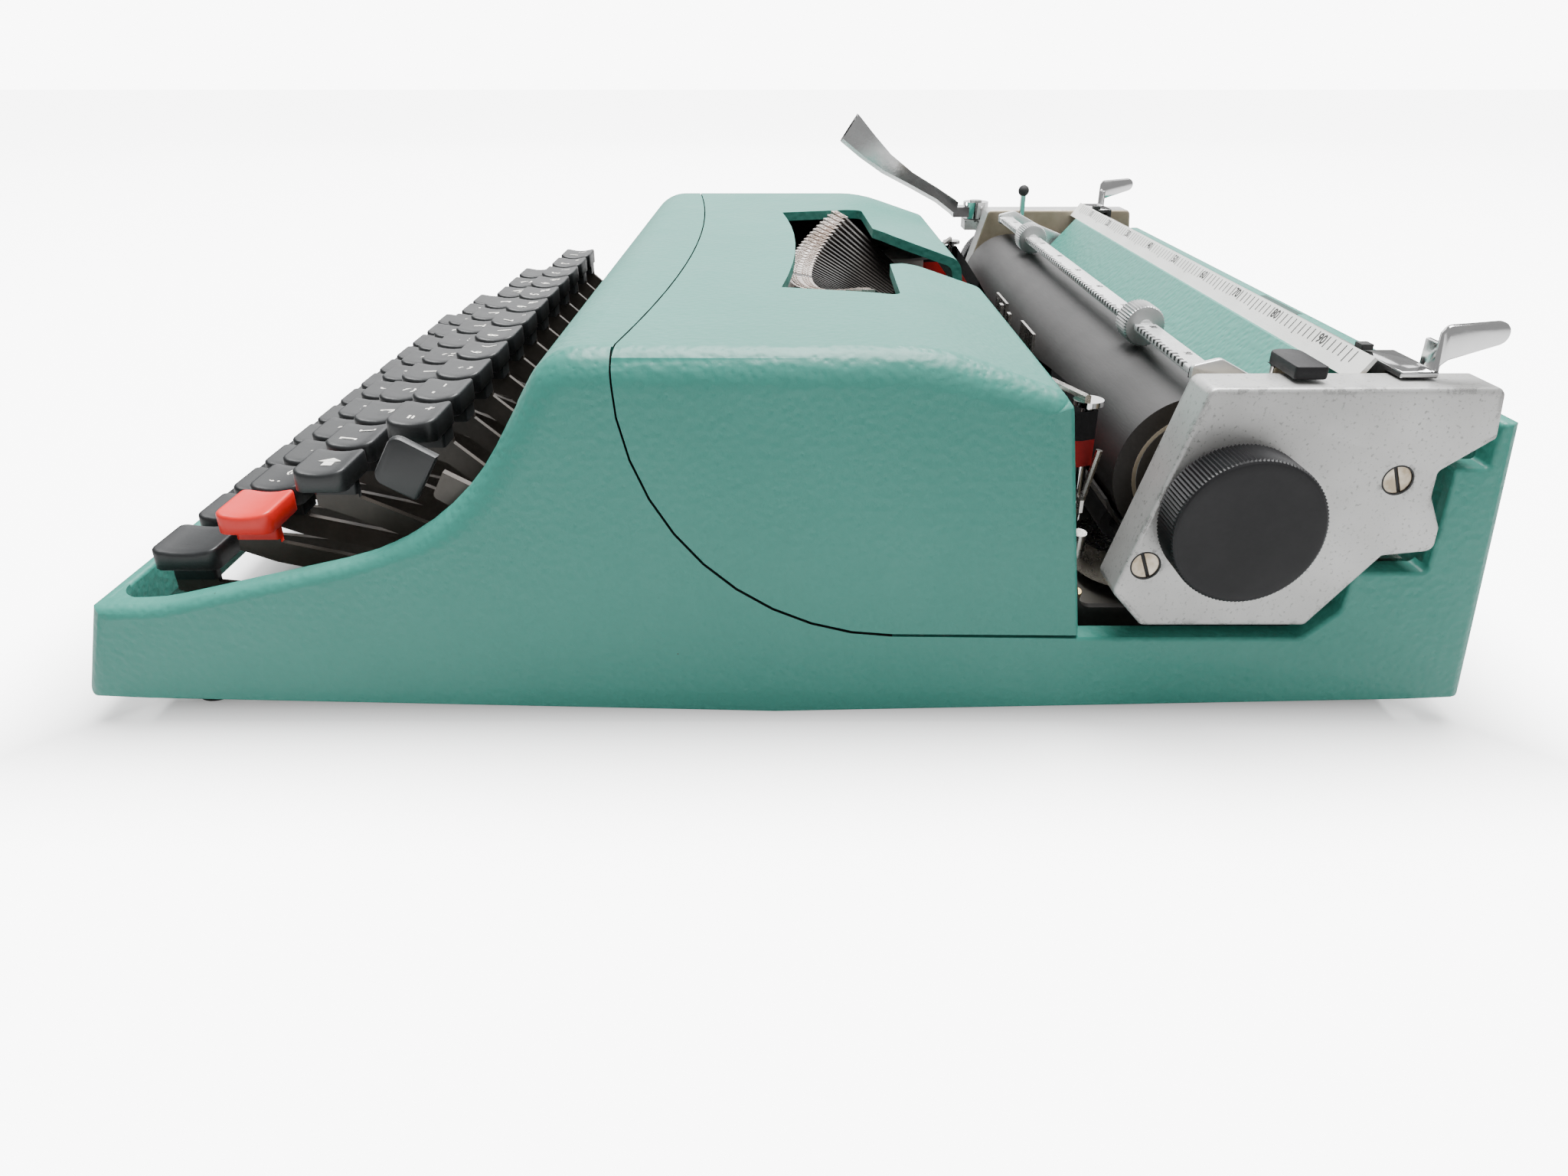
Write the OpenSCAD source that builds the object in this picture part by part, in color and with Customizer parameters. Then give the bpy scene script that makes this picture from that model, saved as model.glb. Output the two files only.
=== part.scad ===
// Flat portable typewriter: X to the right, Y to the back, Z up, origin under the middle at table height.

/* [Body] */
// Width of the body over its side walls
body_w = 266; // [262:1:268]
// Depth of the body along the table
body_d = 318; // [317:1:320]
// Height of the deck above the table
deck_z = 87; // [86.5:0.5:88]
// Skin thickness of the body and the cover
skin = 3; // [2.5:0.5:3]
// Width of the rolled rim along the side walls
rim_w = 6; // [5.5:0.5:6]
// Radius of the seam between body and ribbon cover
seam_r = 60; // [59:1:61]
// Corner radius of the body in plan, front
corner_r = 6; // [5:1:12]

/* [Keyboard] */
// Distance between neighbouring keys in a row
key_pitch = 19; // [19:0.5:19.5]
// Width of a key cap
cap_w = 16.4; // [15:0.2:16.8]
// Largest depth of a key cap
cap_d = 13.5; // [13:0.1:13.5]
// Height of a key cap
cap_h = 5.5; // [5:0.5:6]
// Thickness of a key lever
lever_t = 1.6; // [1.2:0.1:1.6]

/* [Type basket] */
// Number of typebars on each side of the centre one
side_bars = 21; // [18:1:21]
// Swing of a typebar from its rest to the platen, degrees
strike_angle = 80; // [79:0.5:81]
// Half width of the type basket at the type slugs
fan_half = 68; // [64:1:68]

/* [Carriage] */
// Radius of the platen
platen_r = 18; // [17.5:0.1:18]
// Length of the platen
platen_len = 228; // [224:1:228]
// Radius of the platen shaft
shaft_r = 4; // [3.5:0.1:4]
// Distance between the inner faces of the end plates
plate_gap = 247; // [247:0.5:248]
// Thickness of an end plate
plate_t = 12; // [11:0.5:12]
// Overall width across the platen knobs
knob_span = 296; // [294:1:297]
// Radius of a platen knob
knob_r = 15.6; // [14:0.2:15.8]
// Running clearance of pins and shafts in their bores, radial
run = 0.06; // [0.04:0.01:0.08]

/* [Hidden] */
$fn = 48;
eps = 0.1;
teal = [0.42, 0.66, 0.61];
black = [0.16, 0.16, 0.17];
steel = [0.62, 0.62, 0.64];
bright = [0.82, 0.82, 0.84];
dark_steel = [0.28, 0.28, 0.29];
rubber = [0.12, 0.12, 0.12];
red = [0.90, 0.28, 0.22];

half_w = body_w / 2;
half_d = body_d / 2;
plate_in = plate_gap / 2;
plate_out = plate_in + plate_t;
seam_gap = 0.4;
seam_low = 23.6;
seam_front = -33;
cover_back = 68;

// Keyboard rows from the front: centre Y, top Z, first key X, number of keys, lever offset
row_y = [-136.3, -120.4, -101.3, -80.5];
row_z = [38.5, 47.5, 57.7, 68];
row_x = [91.5, 94.6, 93, 108];
row_depth = [13, 12.6, 11.8, 11.2];
row_n = [11, 11, 11, 12];
row_jog = [-3.625, 2.775, -0.375, -5.875];
centre_row = 2;
centre_index = 5;
fulcrum = [56, 22];
knee_z = 15.5;
lever_h = 5;
stem_h = 3.5;
rod_r = 2;

// Print point on the front of the platen and the centre slug at rest, as [Y, Z]
axis_y = 94.6;
axis_z = 54.6;
print_pt = [71.5, 58];
slug_pt = [6.5, 76];
slug_l = 8;
slug_t = 3;
slug_w = 2.4;
bar_t = 0.9;
slug_tilt = 90 - strike_angle;
half_chord = norm(print_pt - slug_pt) / 2;
chord_dir = (print_pt - slug_pt) / (2 * half_chord);
bar_pivot = (print_pt + slug_pt) / 2
    + half_chord / tan(strike_angle / 2) * [chord_dir[1], -chord_dir[0]];
basket_rise = 9;
basket_sweep = 15.6;
segment_share = 0.6;
segment_sweep = 9.6;

// Ribbon
ribbon_z = 55.5;
ribbon_h = 13;
spool_x = 94;
spool_y = 40;
spool_r = 24;
coil_r = 17;
post_x = 110;
post_y = 70;

// Carriage fittings, as [Y, Z] where they turn about an axis along X
rail_y = [127, 140];
rail_z = [31, 39];
frame_z = 45;
roller_gap = 0.4;
feed_r = 4;
feed_angle = 65;
feed_reach = platen_r + feed_r + roller_gap;
front_feed = [axis_y - feed_reach * cos(feed_angle), axis_z - feed_reach * sin(feed_angle)];
rear_feed = [axis_y + feed_reach * cos(feed_angle), axis_z - feed_reach * sin(feed_angle)];
feed_shaft_r = 1.5;
feed_x = [-80, 0, 80];
feed_len = 30;
bail_pin = [114, 68];
bail_rod = [92.8, 78.1];
bail_x = 114.6;
bail_roller_x = [-68, 68];
bail_roller_r = 5.2;
bail_roller_len = 9;
release_pin = [107, 66];
spacer_pin = [100, 68];
lever_x = -141;
lever_y = 84;
strip_half = 123.3;

// ---- helpers ----

function unit(v) = v / norm(v);

// Points of one rounded corner of the outline a-b-c
function corner(a, b, c, r) =
    r <= 0 ? [[b[0], b[1]]] :
    let (p = [b[0], b[1]],
         u = unit([a[0], a[1]] - p),
         v = unit([c[0], c[1]] - p),
         half = acos(u * v) / 2,
         mid = p + unit(u + v) * r / sin(half),
         from = p + u * r / tan(half) - mid,
         to = p + v * r / tan(half) - mid,
         start = atan2(from[1], from[0]),
         turn = atan2(from[0] * to[1] - from[1] * to[0], from * to),
         steps = max(2, ceil(abs(turn) / 9)))
    [for (i = [0 : steps]) mid + r * [cos(start + turn * i / steps), sin(start + turn * i / steps)]];

// An outline of [x, y, radius] corners
function rounded(list) =
    let (n = len(list))
    [for (i = [0 : n - 1]) each corner(list[(i + n - 1) % n], list[i], list[(i + 1) % n], list[i][2])];

// Extrudes a [Y, Z] outline along X
module along_x(x0, x1) {
    translate([x0, 0, 0]) rotate([90, 0, 90]) linear_extrude(x1 - x0) children();
}

// A rod along X through a [Y, Z] point
module rod_x(at, r, x0, x1) {
    translate([x0, at[0], at[1]]) rotate([0, 90, 0]) cylinder(r = r, h = x1 - x0);
}

module both_sides() {
    children();
    mirror([1, 0, 0]) children();
}

module block(low, high) {
    translate(low) cube(high - low);
}

module round_box(w, d, h, r) {
    linear_extrude(h) polygon(rounded([[-w / 2, -d / 2, r], [w / 2, -d / 2, r],
        [w / 2, d / 2, r], [-w / 2, d / 2, r]]));
}

// ---- casing ----

// Side view of the body, from the front foot round the bottom, the carriage notch and the seam
function body_side() = rounded([
    [-half_d - 1, 7, 3],
    [0, -0.9, 3000],
    [half_d - 0.2, 6.6, 3],
    [152.8, 72.5, 1.5], [148.6, 72.5, 1], [148.4, 62.8, 1], [141.6, 62.8, 1],
    [142, 38.8, 1.5], [126, 38.8, 1.5], [125.5, 29.5, 3], [118, 22.4, 3],
    [cover_back + 0.3, 22.4, 0],
    [seam_front, seam_low, seam_r],
    [seam_front, deck_z, 0],
    [-46.4, deck_z, 14], [-71.2, 45.2, 56], [-137.5, 29.9, 40], [-153, 29.6, 2]]);

module body_plan() {
    linear_extrude(deck_z + 5) polygon(rounded([
        [-half_w, -half_d - 1.5, corner_r], [half_w, -half_d - 1.5, corner_r],
        [half_w, half_d + 0.5, 4], [-half_w, half_d + 0.5, 4]]));
}

// The deck's rear edge is a shallow arc that bulges back in the middle
module deck_arc(gap) {
    bulge = 8.2;
    arc_r = (130 * 130 + bulge * bulge) / (2 * bulge);
    translate([0, seam_front + bulge - arc_r, 60]) cylinder(r = arc_r + gap, h = 60, $fn = 360);
}

module body_shell() {
    color(teal) intersection() {
        body_plan();
        union() {
            both_sides() difference() {
                along_x(half_w - rim_w, half_w) polygon(body_side());
                intersection() {
                    along_x(half_w - rim_w - eps, half_w - skin) translate([0, -4]) polygon(body_side());
                    block([0, -152, -10], [half_w, 150, 100]);
                }
            }
            // front bar
            along_x(-half_w + rim_w, half_w - rim_w) polygon(rounded([
                [-159.8, 8, 0], [-153, 29.6, 2], [-149.8, 29.6, 1], [-149.8, 20, 0],
                [-151.8, 20, 0], [-152.8, 26.6, 0], [-156.6, 8, 0]]));
            // rear wall with its rim
            along_x(-half_w + rim_w, half_w - rim_w) polygon(rounded([
                [half_d - 0.5, 8, 0], [152.8, 72.5, 1.5], [147.5, 72.5, 1], [147.5, 69.5, 0],
                [149.6, 69.5, 0], [155.5, 8, 0]]));
            // deck bridge with a front lip
            intersection() {
                along_x(-half_w + rim_w, half_w - rim_w) polygon(rounded([
                    [-15, deck_z, 0], [-46.4, deck_z, 14], [-53.5, 75.1, 0], [-50.9, 73.6, 0],
                    [-44.7, deck_z - skin, 11], [-15, deck_z - skin, 0]]));
                deck_arc(0);
            }
        }
    }
}

// Side view of the ribbon cover
function cover_side() = rounded([
    [cover_back, seam_low - 0.4, 0],
    [seam_front + seam_gap, seam_low + seam_gap, seam_r - seam_gap],
    [seam_front + seam_gap, deck_z, 0],
    [33, deck_z, 50], [60.6, 77.6, 5]]);

function window_front(x) = 5.5 - 4.1 * pow(x / 68, 2);

// Opening in the cover over the type basket, with a narrower slot to the rear edge
function cover_opening() = concat(
    [for (x = [-68 : 17 : 68]) [x, window_front(x)]],
    corner([68, 1.4], [76.5, 30.6], [33, 31.7], 2.5),
    corner([76.5, 30.6], [33, 31.7], [25, 38], 2.5),
    corner([33, 31.7], [25, 38], [22, 50], 12),
    [[22, 80], [-22, 80]],
    corner([-22, 50], [-25, 38], [-33, 31.7], 12),
    corner([-25, 38], [-33, 31.7], [-76.5, 30.6], 2.5),
    corner([-33, 31.7], [-76.5, 30.6], [-68, 1.4], 2.5));

module ribbon_cover() {
    color(teal) union() {
        both_sides() along_x(half_w - skin, half_w) polygon(cover_side());
        difference() {
            along_x(-half_w + skin, half_w - skin) polygon(rounded([
                [-40, deck_z, 0], [33, deck_z, 50], [60.6, 77.6, 5], [61.6, 70, 0], [58.6, 70, 0],
                [57.6, 75.6, 3], [32.4, deck_z - skin, 47], [-40, deck_z - skin, 0]]));
            deck_arc(seam_gap);
            translate([0, 0, 60]) linear_extrude(40) polygon(cover_opening());
        }
    }
}

// ---- base and frame ----

module base_frame() {
    color(dark_steel) difference() {
        block([-half_w + skin, -146, 7.5], [half_w - skin, 145, 9]);
        block([-119, -160, 0], [119, -5, 20]);
    }
}

module rubber_feet() {
    color(rubber) for (x = [-1, 1], y = [-136, 130])
        translate([x * (y < 0 ? 119.5 : 112), y, 0]) cylinder(r = y < 0 ? 4.5 : 9, h = 7.5);
}

module side_frames() {
    color(dark_steel) union() {
        both_sides() difference() {
            along_x(119, 121) polygon(rounded([
                [-56, 10, 0], [-56, 46, 6], [-30, 52, 6], [10, 62, 6], [66, 62, 4], [66, 50, 4],
                [71, 24, 3], [122, 24, 0], [122, 29, 0], [142, 29, 2], [142, 10, 0]]));
            along_x(118, 122) polygon(rounded([[-36, 20, 4], [44, 24, 4], [44, 50, 8], [-28, 42, 8]]));
        }
        block([-119, 62, 19], [119, 71.6, 22]);
        // pivot pin of the ribbon colour selector
        rod_x([-48, 42], 2, 121, 124.8);
    }
}

module key_fulcrum_rod() {
    color(steel) rod_x(fulcrum, rod_r, -119, 119, $fn = 12);
}

// X of every lever that runs back to the fulcrum
function row_lever_x(row) = [for (k = [0 : row_n[row] - 1]) row_x[row] - key_pitch * k + row_jog[row]];
function shift_x() = [115.9, -115.9];
function space_x() = [66.5, -66.5];
backspace_x = 110.7;
tab_x = 113.3;
lock_x = -110.7;
margin_x = -113.3;
function all_lever_x() = concat(row_lever_x(0), row_lever_x(1), row_lever_x(2), row_lever_x(3),
    shift_x(), space_x(), [backspace_x, tab_x, lock_x, margin_x]);

module key_comb() {
    color(dark_steel) difference() {
        block([-119, -53, 5], [119, -51, 48]);
        for (x = all_lever_x())
            block([x - 1.35, -54, 7], [x + 1.35, -50, 50]);
    }
}

// ---- type basket ----

// Place of slug i and of its pivot, as [X, Y, Z]
function slug_at(i) =
    let (t = i / side_bars)
    [fan_half * t, slug_pt[0] + basket_sweep * t * t, slug_pt[1] + basket_rise * t * t];
function pivot_at(i) =
    let (t = i / side_bars)
    [segment_share * fan_half * t, bar_pivot[0] + segment_sweep * t * t, bar_pivot[1]];

// Side view of a cranked typebar, from its pivot at the origin to a slug at [reach, rise]
function bar_side(reach, rise) =
    let (e1 = [cos(slug_tilt), sin(slug_tilt)],
         e2 = [-sin(slug_tilt), cos(slug_tilt)],
         heel = [reach, rise] - e1 * slug_l / 2,
         knee = [-0.22 * reach, 0.75 * rise])
    [[2.3, -2.6], [-2.3, -2.6], knee + [-2.6, 1.2], heel + e2 * slug_t / 2, heel - e2 * slug_t / 2,
     knee + [3, -2.6]];

// Stands children, drawn forward along +X and up along +Y, in the plane of typebar i
module in_bar_plane(i) {
    p = pivot_at(i);
    s = slug_at(i);
    translate(p) rotate([0, 0, atan2(s[1] - p[1], s[0] - p[0])]) rotate([90, 0, 0]) children();
}

function reach(i) = norm([slug_at(i)[0] - pivot_at(i)[0], slug_at(i)[1] - pivot_at(i)[1]]);
function rise(i) = slug_at(i)[2] - pivot_at(i)[2];

module one_bar(i) {
    in_bar_plane(i) translate([0, 0, -bar_t / 2]) linear_extrude(bar_t) polygon(bar_side(reach(i), rise(i)));
}

module one_slug(i) {
    in_bar_plane(i) translate([reach(i), rise(i), -slug_w / 2]) rotate([0, 0, slug_tilt])
        translate([-slug_l / 2, -slug_t / 2, 0]) cube([slug_l, slug_t, slug_w]);
}

module typebars() {
    color(dark_steel) for (i = [1 : side_bars], s = [-1, 1]) one_bar(s * i);
}

module type_slugs() {
    color(bright) for (i = [1 : side_bars], s = [-1, 1]) one_slug(s * i);
}

module centre_typebar() {
    color(steel) {
        difference() {
            one_bar(0);
            rod_x(bar_pivot, 0.7 + run, -3, 3);
        }
        one_slug(0);
    }
}

module typebar_segment() {
    half = segment_share * fan_half + 5;
    back = bar_pivot[0] + segment_sweep * pow(half / (segment_share * fan_half), 2);
    color(dark_steel) union() {
        difference() {
            translate([0, 0, 21]) linear_extrude(12.5) polygon(concat(
                [for (t = [-1 : 0.1 : 1]) [half * t, bar_pivot[0] - 6 + (back - bar_pivot[0]) * t * t]],
                [[half, back + 6], [-half, back + 6]]));
            for (i = [-side_bars : side_bars])
                in_bar_plane(i) translate([-30, -3.6, -0.75]) cube([60, 20, 1.5]);
        }
        block([-119, 24, 21], [119, 38, 23.5]);
    }
    color(bright) rod_x(bar_pivot, 0.7, -0.75, 0.75);
}

module typebar_rest() {
    edge = 64;
    top_z = slug_pt[1] - 2.9;
    function curve(x) = slug_pt[0] + basket_sweep * pow(x / fan_half, 2);
    color(dark_steel) union() {
        translate([0, 0, 60]) linear_extrude(2) polygon(concat(
            [[-edge, 2], [edge, 2]], [for (x = [edge : -8 : -edge]) [x, curve(x) + 2]]));
        translate([0, 0, 60]) linear_extrude(top_z - 60) polygon(concat(
            [for (x = [-edge : 8 : edge]) [x, curve(x) - 2]],
            [for (x = [edge : -8 : -edge]) [x, curve(x) + 2]]));
        block([-119, 2, 58], [119, 7, 60.5]);
    }
}

// ---- keys ----

module key_cap(x, y, top, w = cap_w, d = cap_d) {
    translate([x, y, top - cap_h]) round_box(w, d, cap_h, 3);
}

module key_stem(x, y, top, w = 6, d = 10) {
    translate([x, y, top - cap_h - stem_h]) round_box(w, d, stem_h, 0.8);
}

// Lever plate from the fulcrum rod to just under the stem of a key
module key_lever(x, y, top) {
    tip_z = top - cap_h - stem_h;
    hub = 4;
    color(dark_steel) difference() {
        along_x(x - lever_t / 2, x + lever_t / 2) polygon([
            [fulcrum[0] + hub, fulcrum[1] - 1.5], [fulcrum[0] + hub, fulcrum[1] + 2],
            [fulcrum[0] + 2, fulcrum[1] + 4], [fulcrum[0] - 2, fulcrum[1] + 4],
            [fulcrum[0] - hub, fulcrum[1] + 2],
            [46, knee_z + lever_h / 2], [-30, knee_z + lever_h / 2],
            [y + 5, tip_z - 1], [y + 5, tip_z], [y - 5, tip_z], [y - 5, tip_z - 3],
            [y + 3, tip_z - lever_h - 1],
            [-30, knee_z - lever_h / 2], [48, knee_z - lever_h / 2], [fulcrum[0] + 1, fulcrum[1] - 4]]);
        rod_x(fulcrum, rod_r + 0.4, x - 3, x + 3, $fn = 12);
    }
}

function in_row(row, k) = !(row == centre_row && k == centre_index);

module row_caps(row) {
    color(black) for (k = [0 : row_n[row] - 1]) if (in_row(row, k)) {
        key_cap(row_x[row] - key_pitch * k, row_y[row], row_z[row], cap_w, min(cap_d, row_depth[row]));
        key_stem(row_x[row] - key_pitch * k + row_jog[row] / 2, row_y[row], row_z[row], 8);
    }
}

module row_levers(row) {
    for (k = [0 : row_n[row] - 1]) if (in_row(row, k))
        key_lever(row_x[row] - key_pitch * k + row_jog[row], row_y[row], row_z[row]);
}

module single_key(x, y, top, stem_x, w, d, tint) {
    color(tint) {
        key_cap(x, y, top, w, d);
        key_stem(stem_x, y, top, 3);
    }
    key_lever(stem_x, y, top);
}

module centre_key() {
    x = row_x[centre_row] - key_pitch * centre_index;
    color(black) {
        key_cap(x, row_y[centre_row], row_z[centre_row]);
        key_stem(x + row_jog[centre_row] / 2, row_y[centre_row], row_z[centre_row], 8);
    }
    key_lever(x + row_jog[centre_row], row_y[centre_row], row_z[centre_row]);
}

module space_bar() {
    low = [knee_z - lever_h / 2, knee_z + lever_h / 2];
    color(black) translate([0, -146.4, 26.5]) round_box(174, 4.4, 7, 1.5);
    color(dark_steel) for (x = space_x()) difference() {
        along_x(x - lever_t / 2, x + lever_t / 2) polygon([
            [fulcrum[0] + 4, fulcrum[1] - 1.5], [fulcrum[0] + 4, fulcrum[1] + 2],
            [fulcrum[0] + 2, fulcrum[1] + 4], [fulcrum[0] - 2, fulcrum[1] + 4],
            [fulcrum[0] - 4, fulcrum[1] + 2], [46, low[1]], [-144.6, low[1]], [-144.6, 26.5],
            [-148.2, 26.5], [-148.2, low[0]], [48, low[0]], [fulcrum[0] + 1, fulcrum[1] - 4]]);
        rod_x(fulcrum, rod_r + 0.4, x - 3, x + 3, $fn = 12);
    }
}

module shift_keys() {
    for (s = [-1, 1]) single_key(s > 0 ? 112 : -115.7, -135.8, row_z[0], s * 115.9, 16.4, 15.4, black);
}

module shift_lock_key() { single_key(-112.6, row_y[1], row_z[1], lock_x, 16.4, row_depth[1], black); }

module backspace_key() { single_key(112, row_y[2], row_z[2], backspace_x, 16.4, row_depth[2], black); }

module tab_key() { single_key(112, row_y[1], row_z[1], tab_x, 16.4, row_depth[1], red); }

module margin_release_key() { single_key(-116.5, row_y[2], row_z[2], margin_x, 16.4, row_depth[2], black); }

module colour_selector() {
    color(dark_steel) difference() {
        along_x(122, 124) polygon(rounded([
            [-44, 38.5, 3], [-44, 45, 3], [-51, 47, 3], [-72, 58.6, 0], [-75, 53, 0], [-53, 39, 3]]));
        rod_x([-48, 42], 2 + run, 120, 126);
    }
    color(black) translate([0, -79.6, 59.2]) rotate([-30, 0, 0])
        along_x(121.5, 124.5) polygon(rounded([[-6, -6, 2.5], [4.6, -6, 0], [4.6, 6, 0], [-6, 6, 2.5]]));
}

// ---- ribbon ----

module spool() {
    color(steel) difference() {
        union() {
            translate([0, 0, ribbon_z - 2.7]) cylinder(r = 6, h = ribbon_h + 4.2);
            translate([0, 0, ribbon_z - 1.5]) cylinder(r = spool_r, h = 1);
            translate([0, 0, ribbon_z + ribbon_h + 0.5]) cylinder(r = spool_r, h = 1);
        }
        translate([0, 0, ribbon_z - 5]) cylinder(r = 3 + run, h = ribbon_h + 10);
    }
    color(black) difference() {
        translate([0, 0, ribbon_z]) cylinder(r = coil_r, h = ribbon_h);
        translate([0, 0, ribbon_z - 1]) cylinder(r = 6, h = ribbon_h + 2);
    }
}

module right_spool() { translate([spool_x, spool_y, 0]) spool(); }

module left_spool() { translate([-spool_x, spool_y, 0]) spool(); }

module spool_cups() {
    color(dark_steel) both_sides() translate([spool_x, spool_y, 0]) {
        translate([0, 0, 51]) cylinder(r = 24.6, h = 1.5);
        translate([0, 0, 52.5]) cylinder(r = 3, h = 18);
        block([18, -8, 51], [119 - spool_x, 8, 52.5]);
    }
}

// Plan of the ribbon: out of the coil, round the guide post and along the platen
function ribbon_route() = [
    [spool_x + coil_r + 0.7, spool_y + 3], [post_x + 2.4, post_y - 1],
    [post_x + 1, post_y + 2.2], [60, 73.6], [0, 73.6]];

module ribbon() {
    t = 0.25;
    route = concat(ribbon_route(), [for (i = [3 : -1 : 0]) [-ribbon_route()[i][0], ribbon_route()[i][1]]]);
    color(red) translate([0, 0, ribbon_z]) linear_extrude(ribbon_h) polygon(concat(
        [for (p = route) p + [0, t]],
        [for (i = [len(route) - 1 : -1 : 0]) route[i] - [sign(route[i][0]) * (i < 3 || i > 5 ? t : 0), t]]));
}

module ribbon_posts() {
    color(bright) both_sides() translate([post_x, post_y, 0]) {
        translate([0, 0, 22]) cylinder(r = 1.4, h = ribbon_z + ribbon_h + 1 - 22);
        translate([0, 0, ribbon_z + ribbon_h + 1]) cylinder(r = 3.4, h = 1.2);
    }
}

module ribbon_vibrator() {
    color(steel) union() {
        both_sides() block([5, 71.5, 27], [8, 72.5, 67]);
        block([-8, 71.5, 24], [8, 72.5, 28]);
    }
}

module card_guides() {
    color(bright) both_sides() union() {
        block([12, 74.6, 50], [30, 75.4, 66]);
        block([24, 70, 50], [30, 75.4, 51.4]);
        block([24, 70, 22], [30, 71.2, 51.4]);
    }
}

// ---- carriage ----

module carriage_rail() {
    color(steel) union() {
        block([-126, rail_y[0], rail_z[0]], [126, rail_y[1], rail_z[1]]);
        both_sides() block([115, rail_y[0], 12], [118, rail_y[1] - 1, rail_z[0]]);
    }
}

module carriage_frame() {
    color(dark_steel) union() {
        block([-plate_in, 121, frame_z], [plate_in, 140, frame_z + 3]);
        block([-112, 131.5, frame_z + 3], [112, 133.5, 77.2]);
        both_sides() difference() {
            along_x(117, 119) polygon([[80.5, 30], [110, 30], [121, 44], [121, 48], [112, 48], [108.5, 39], [80.5, 39]]);
            rod_x(front_feed, feed_shaft_r + run, 116, 120);
            rod_x(rear_feed, feed_shaft_r + run, 116, 120);
        }
        // running rollers on the rail
        for (x = [-14, 0, 14]) translate([x, rail_y[0] + 1, rail_z[1] + 3.2]) rotate([-90, 0, 0])
            cylinder(r = 2.8, h = 11);
    }
}

// Side view of an end plate
function plate_side() = rounded([
    [86.7, 80.5, 2], [145.2, 80.6, 2], [146.4, 70.1, 1], [136.5, 62.9, 1.5], [136.7, 57.3, 2],
    [140.1, 50.4, 2], [140.3, 45, 2], [129.6, 43.8, 0.5], [116.7, 27, 1.5], [80.6, 27, 1.5],
    [73.2, 35.2, 2]]);

module plate_body(x0, x1) {
    difference() {
        along_x(x0, x1) polygon(plate_side());
        rod_x([axis_y, axis_z], shaft_r + run, x0 - 1, x1 + 1);
    }
}

screw_at = [[79.4, 41.7], [128.4, 61.2]];
screw_r = 3;

module screw_sinks(x0, x1) {
    for (p = screw_at) rod_x(p, screw_r + 0.2, x0, x1);
}

module right_end_plate() {
    color(bright) union() {
        difference() {
            plate_body(plate_in, plate_out);
            screw_sinks(plate_out - 1.6, plate_out + 1);
        }
        rod_x(bail_pin, 2, 114.3, plate_in);
        rod_x(release_pin, 1.4, 117.8, plate_in);
    }
}

module left_end_plate() {
    color(bright) union() {
        difference() {
            plate_body(-plate_out, -plate_in);
            screw_sinks(-plate_out - 1, -plate_out + 1.6);
        }
        rod_x(bail_pin, 2, -plate_in, -114.3);
        rod_x(spacer_pin, 1.4, -plate_in, -120.4);
        // lug and pin of the return lever
        block([-146, lever_y - 5, 71], [-plate_out, lever_y + 5, 75]);
        translate([lever_x, lever_y, 75]) cylinder(r = 2.5, h = 7.5);
    }
}

module end_plate_screws() {
    color(steel) both_sides() for (p = screw_at) difference() {
        rod_x(p, screw_r, plate_out - 1.6, plate_out - 0.3);
        translate([plate_out - 0.8, p[0], p[1]]) rotate([20, 0, 0]) translate([0, -0.4, -4]) cube([2, 0.8, 8]);
    }
}

module paper_table() {
    color(teal) along_x(-112, 112) polygon([
        [110.6, 66.2], [120.4, 77.2], [129, 77.2], [129, 78.6], [119.8, 78.6], [109.5, 67.1]]);
}

module scale_strip() {
    color(bright) along_x(-strip_half, strip_half) polygon([
        [120.6, 78.6], [122, 78.6], [124.9, 83.1], [124.2, 83.6]]);
}

module margin_rail() {
    color(steel) block([-plate_in, 129, 77.2], [plate_in, 132, 80.2]);
}

// Chrome stop with a slider round the rail and a finger flange
module margin_stop() {
    color(bright) union() {
        block([112, 126.6, 81], [130, 134.2, 82.4]);
        block([112, 126.6, 79], [123.2, 128.6, 81]);
        block([112, 132.4, 77.6], [123.2, 134.2, 81]);
        block([124, 133, 82.4], [129.8, 134.2, 88]);
        along_x(128.4, 129.8) polygon(rounded([
            [133, 82.4, 0], [135.4, 84.6, 1], [146.4, 88.2, 2.4], [146.4, 92.6, 2.4], [134, 91.6, 1.5],
            [133, 90, 0]]));
    }
}

module right_margin_stop() { margin_stop(); }

module left_margin_stop() { mirror([1, 0, 0]) margin_stop(); }

module platen() {
    color(rubber) difference() {
        rod_x([axis_y, axis_z], platen_r, -platen_len / 2, platen_len / 2);
        rod_x([axis_y, axis_z], 12, -platen_len, platen_len);
    }
}

module platen_shaft() {
    teeth = 24;
    color(steel) union() {
        rod_x([axis_y, axis_z], 12, -platen_len / 2 + 2, platen_len / 2 - 2);
        rod_x([axis_y, axis_z], shaft_r, -knob_span / 2 + 3, knob_span / 2 - 3);
        along_x(-118.4, -116.8) translate([axis_y, axis_z]) polygon(
            [for (i = [0 : 2 * teeth - 1]) (i % 2 == 0 ? 13 : 11.6) * [cos(i * 180 / teeth), sin(i * 180 / teeth)]]);
    }
}

module knob(x0, x1) {
    color(black) difference() {
        union() {
            rod_x([axis_y, axis_z], knob_r, x1 - 10.5, x1);
            rod_x([axis_y, axis_z], 8, x0, x1 - 10.5);
        }
        rod_x([axis_y, axis_z], shaft_r, x0 - 1, x1 - 3);
    }
}

module right_knob() { knob(plate_out + 0.5, knob_span / 2); }

module left_knob() { mirror([1, 0, 0]) knob(plate_out + 0.5, knob_span / 2); }

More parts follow.
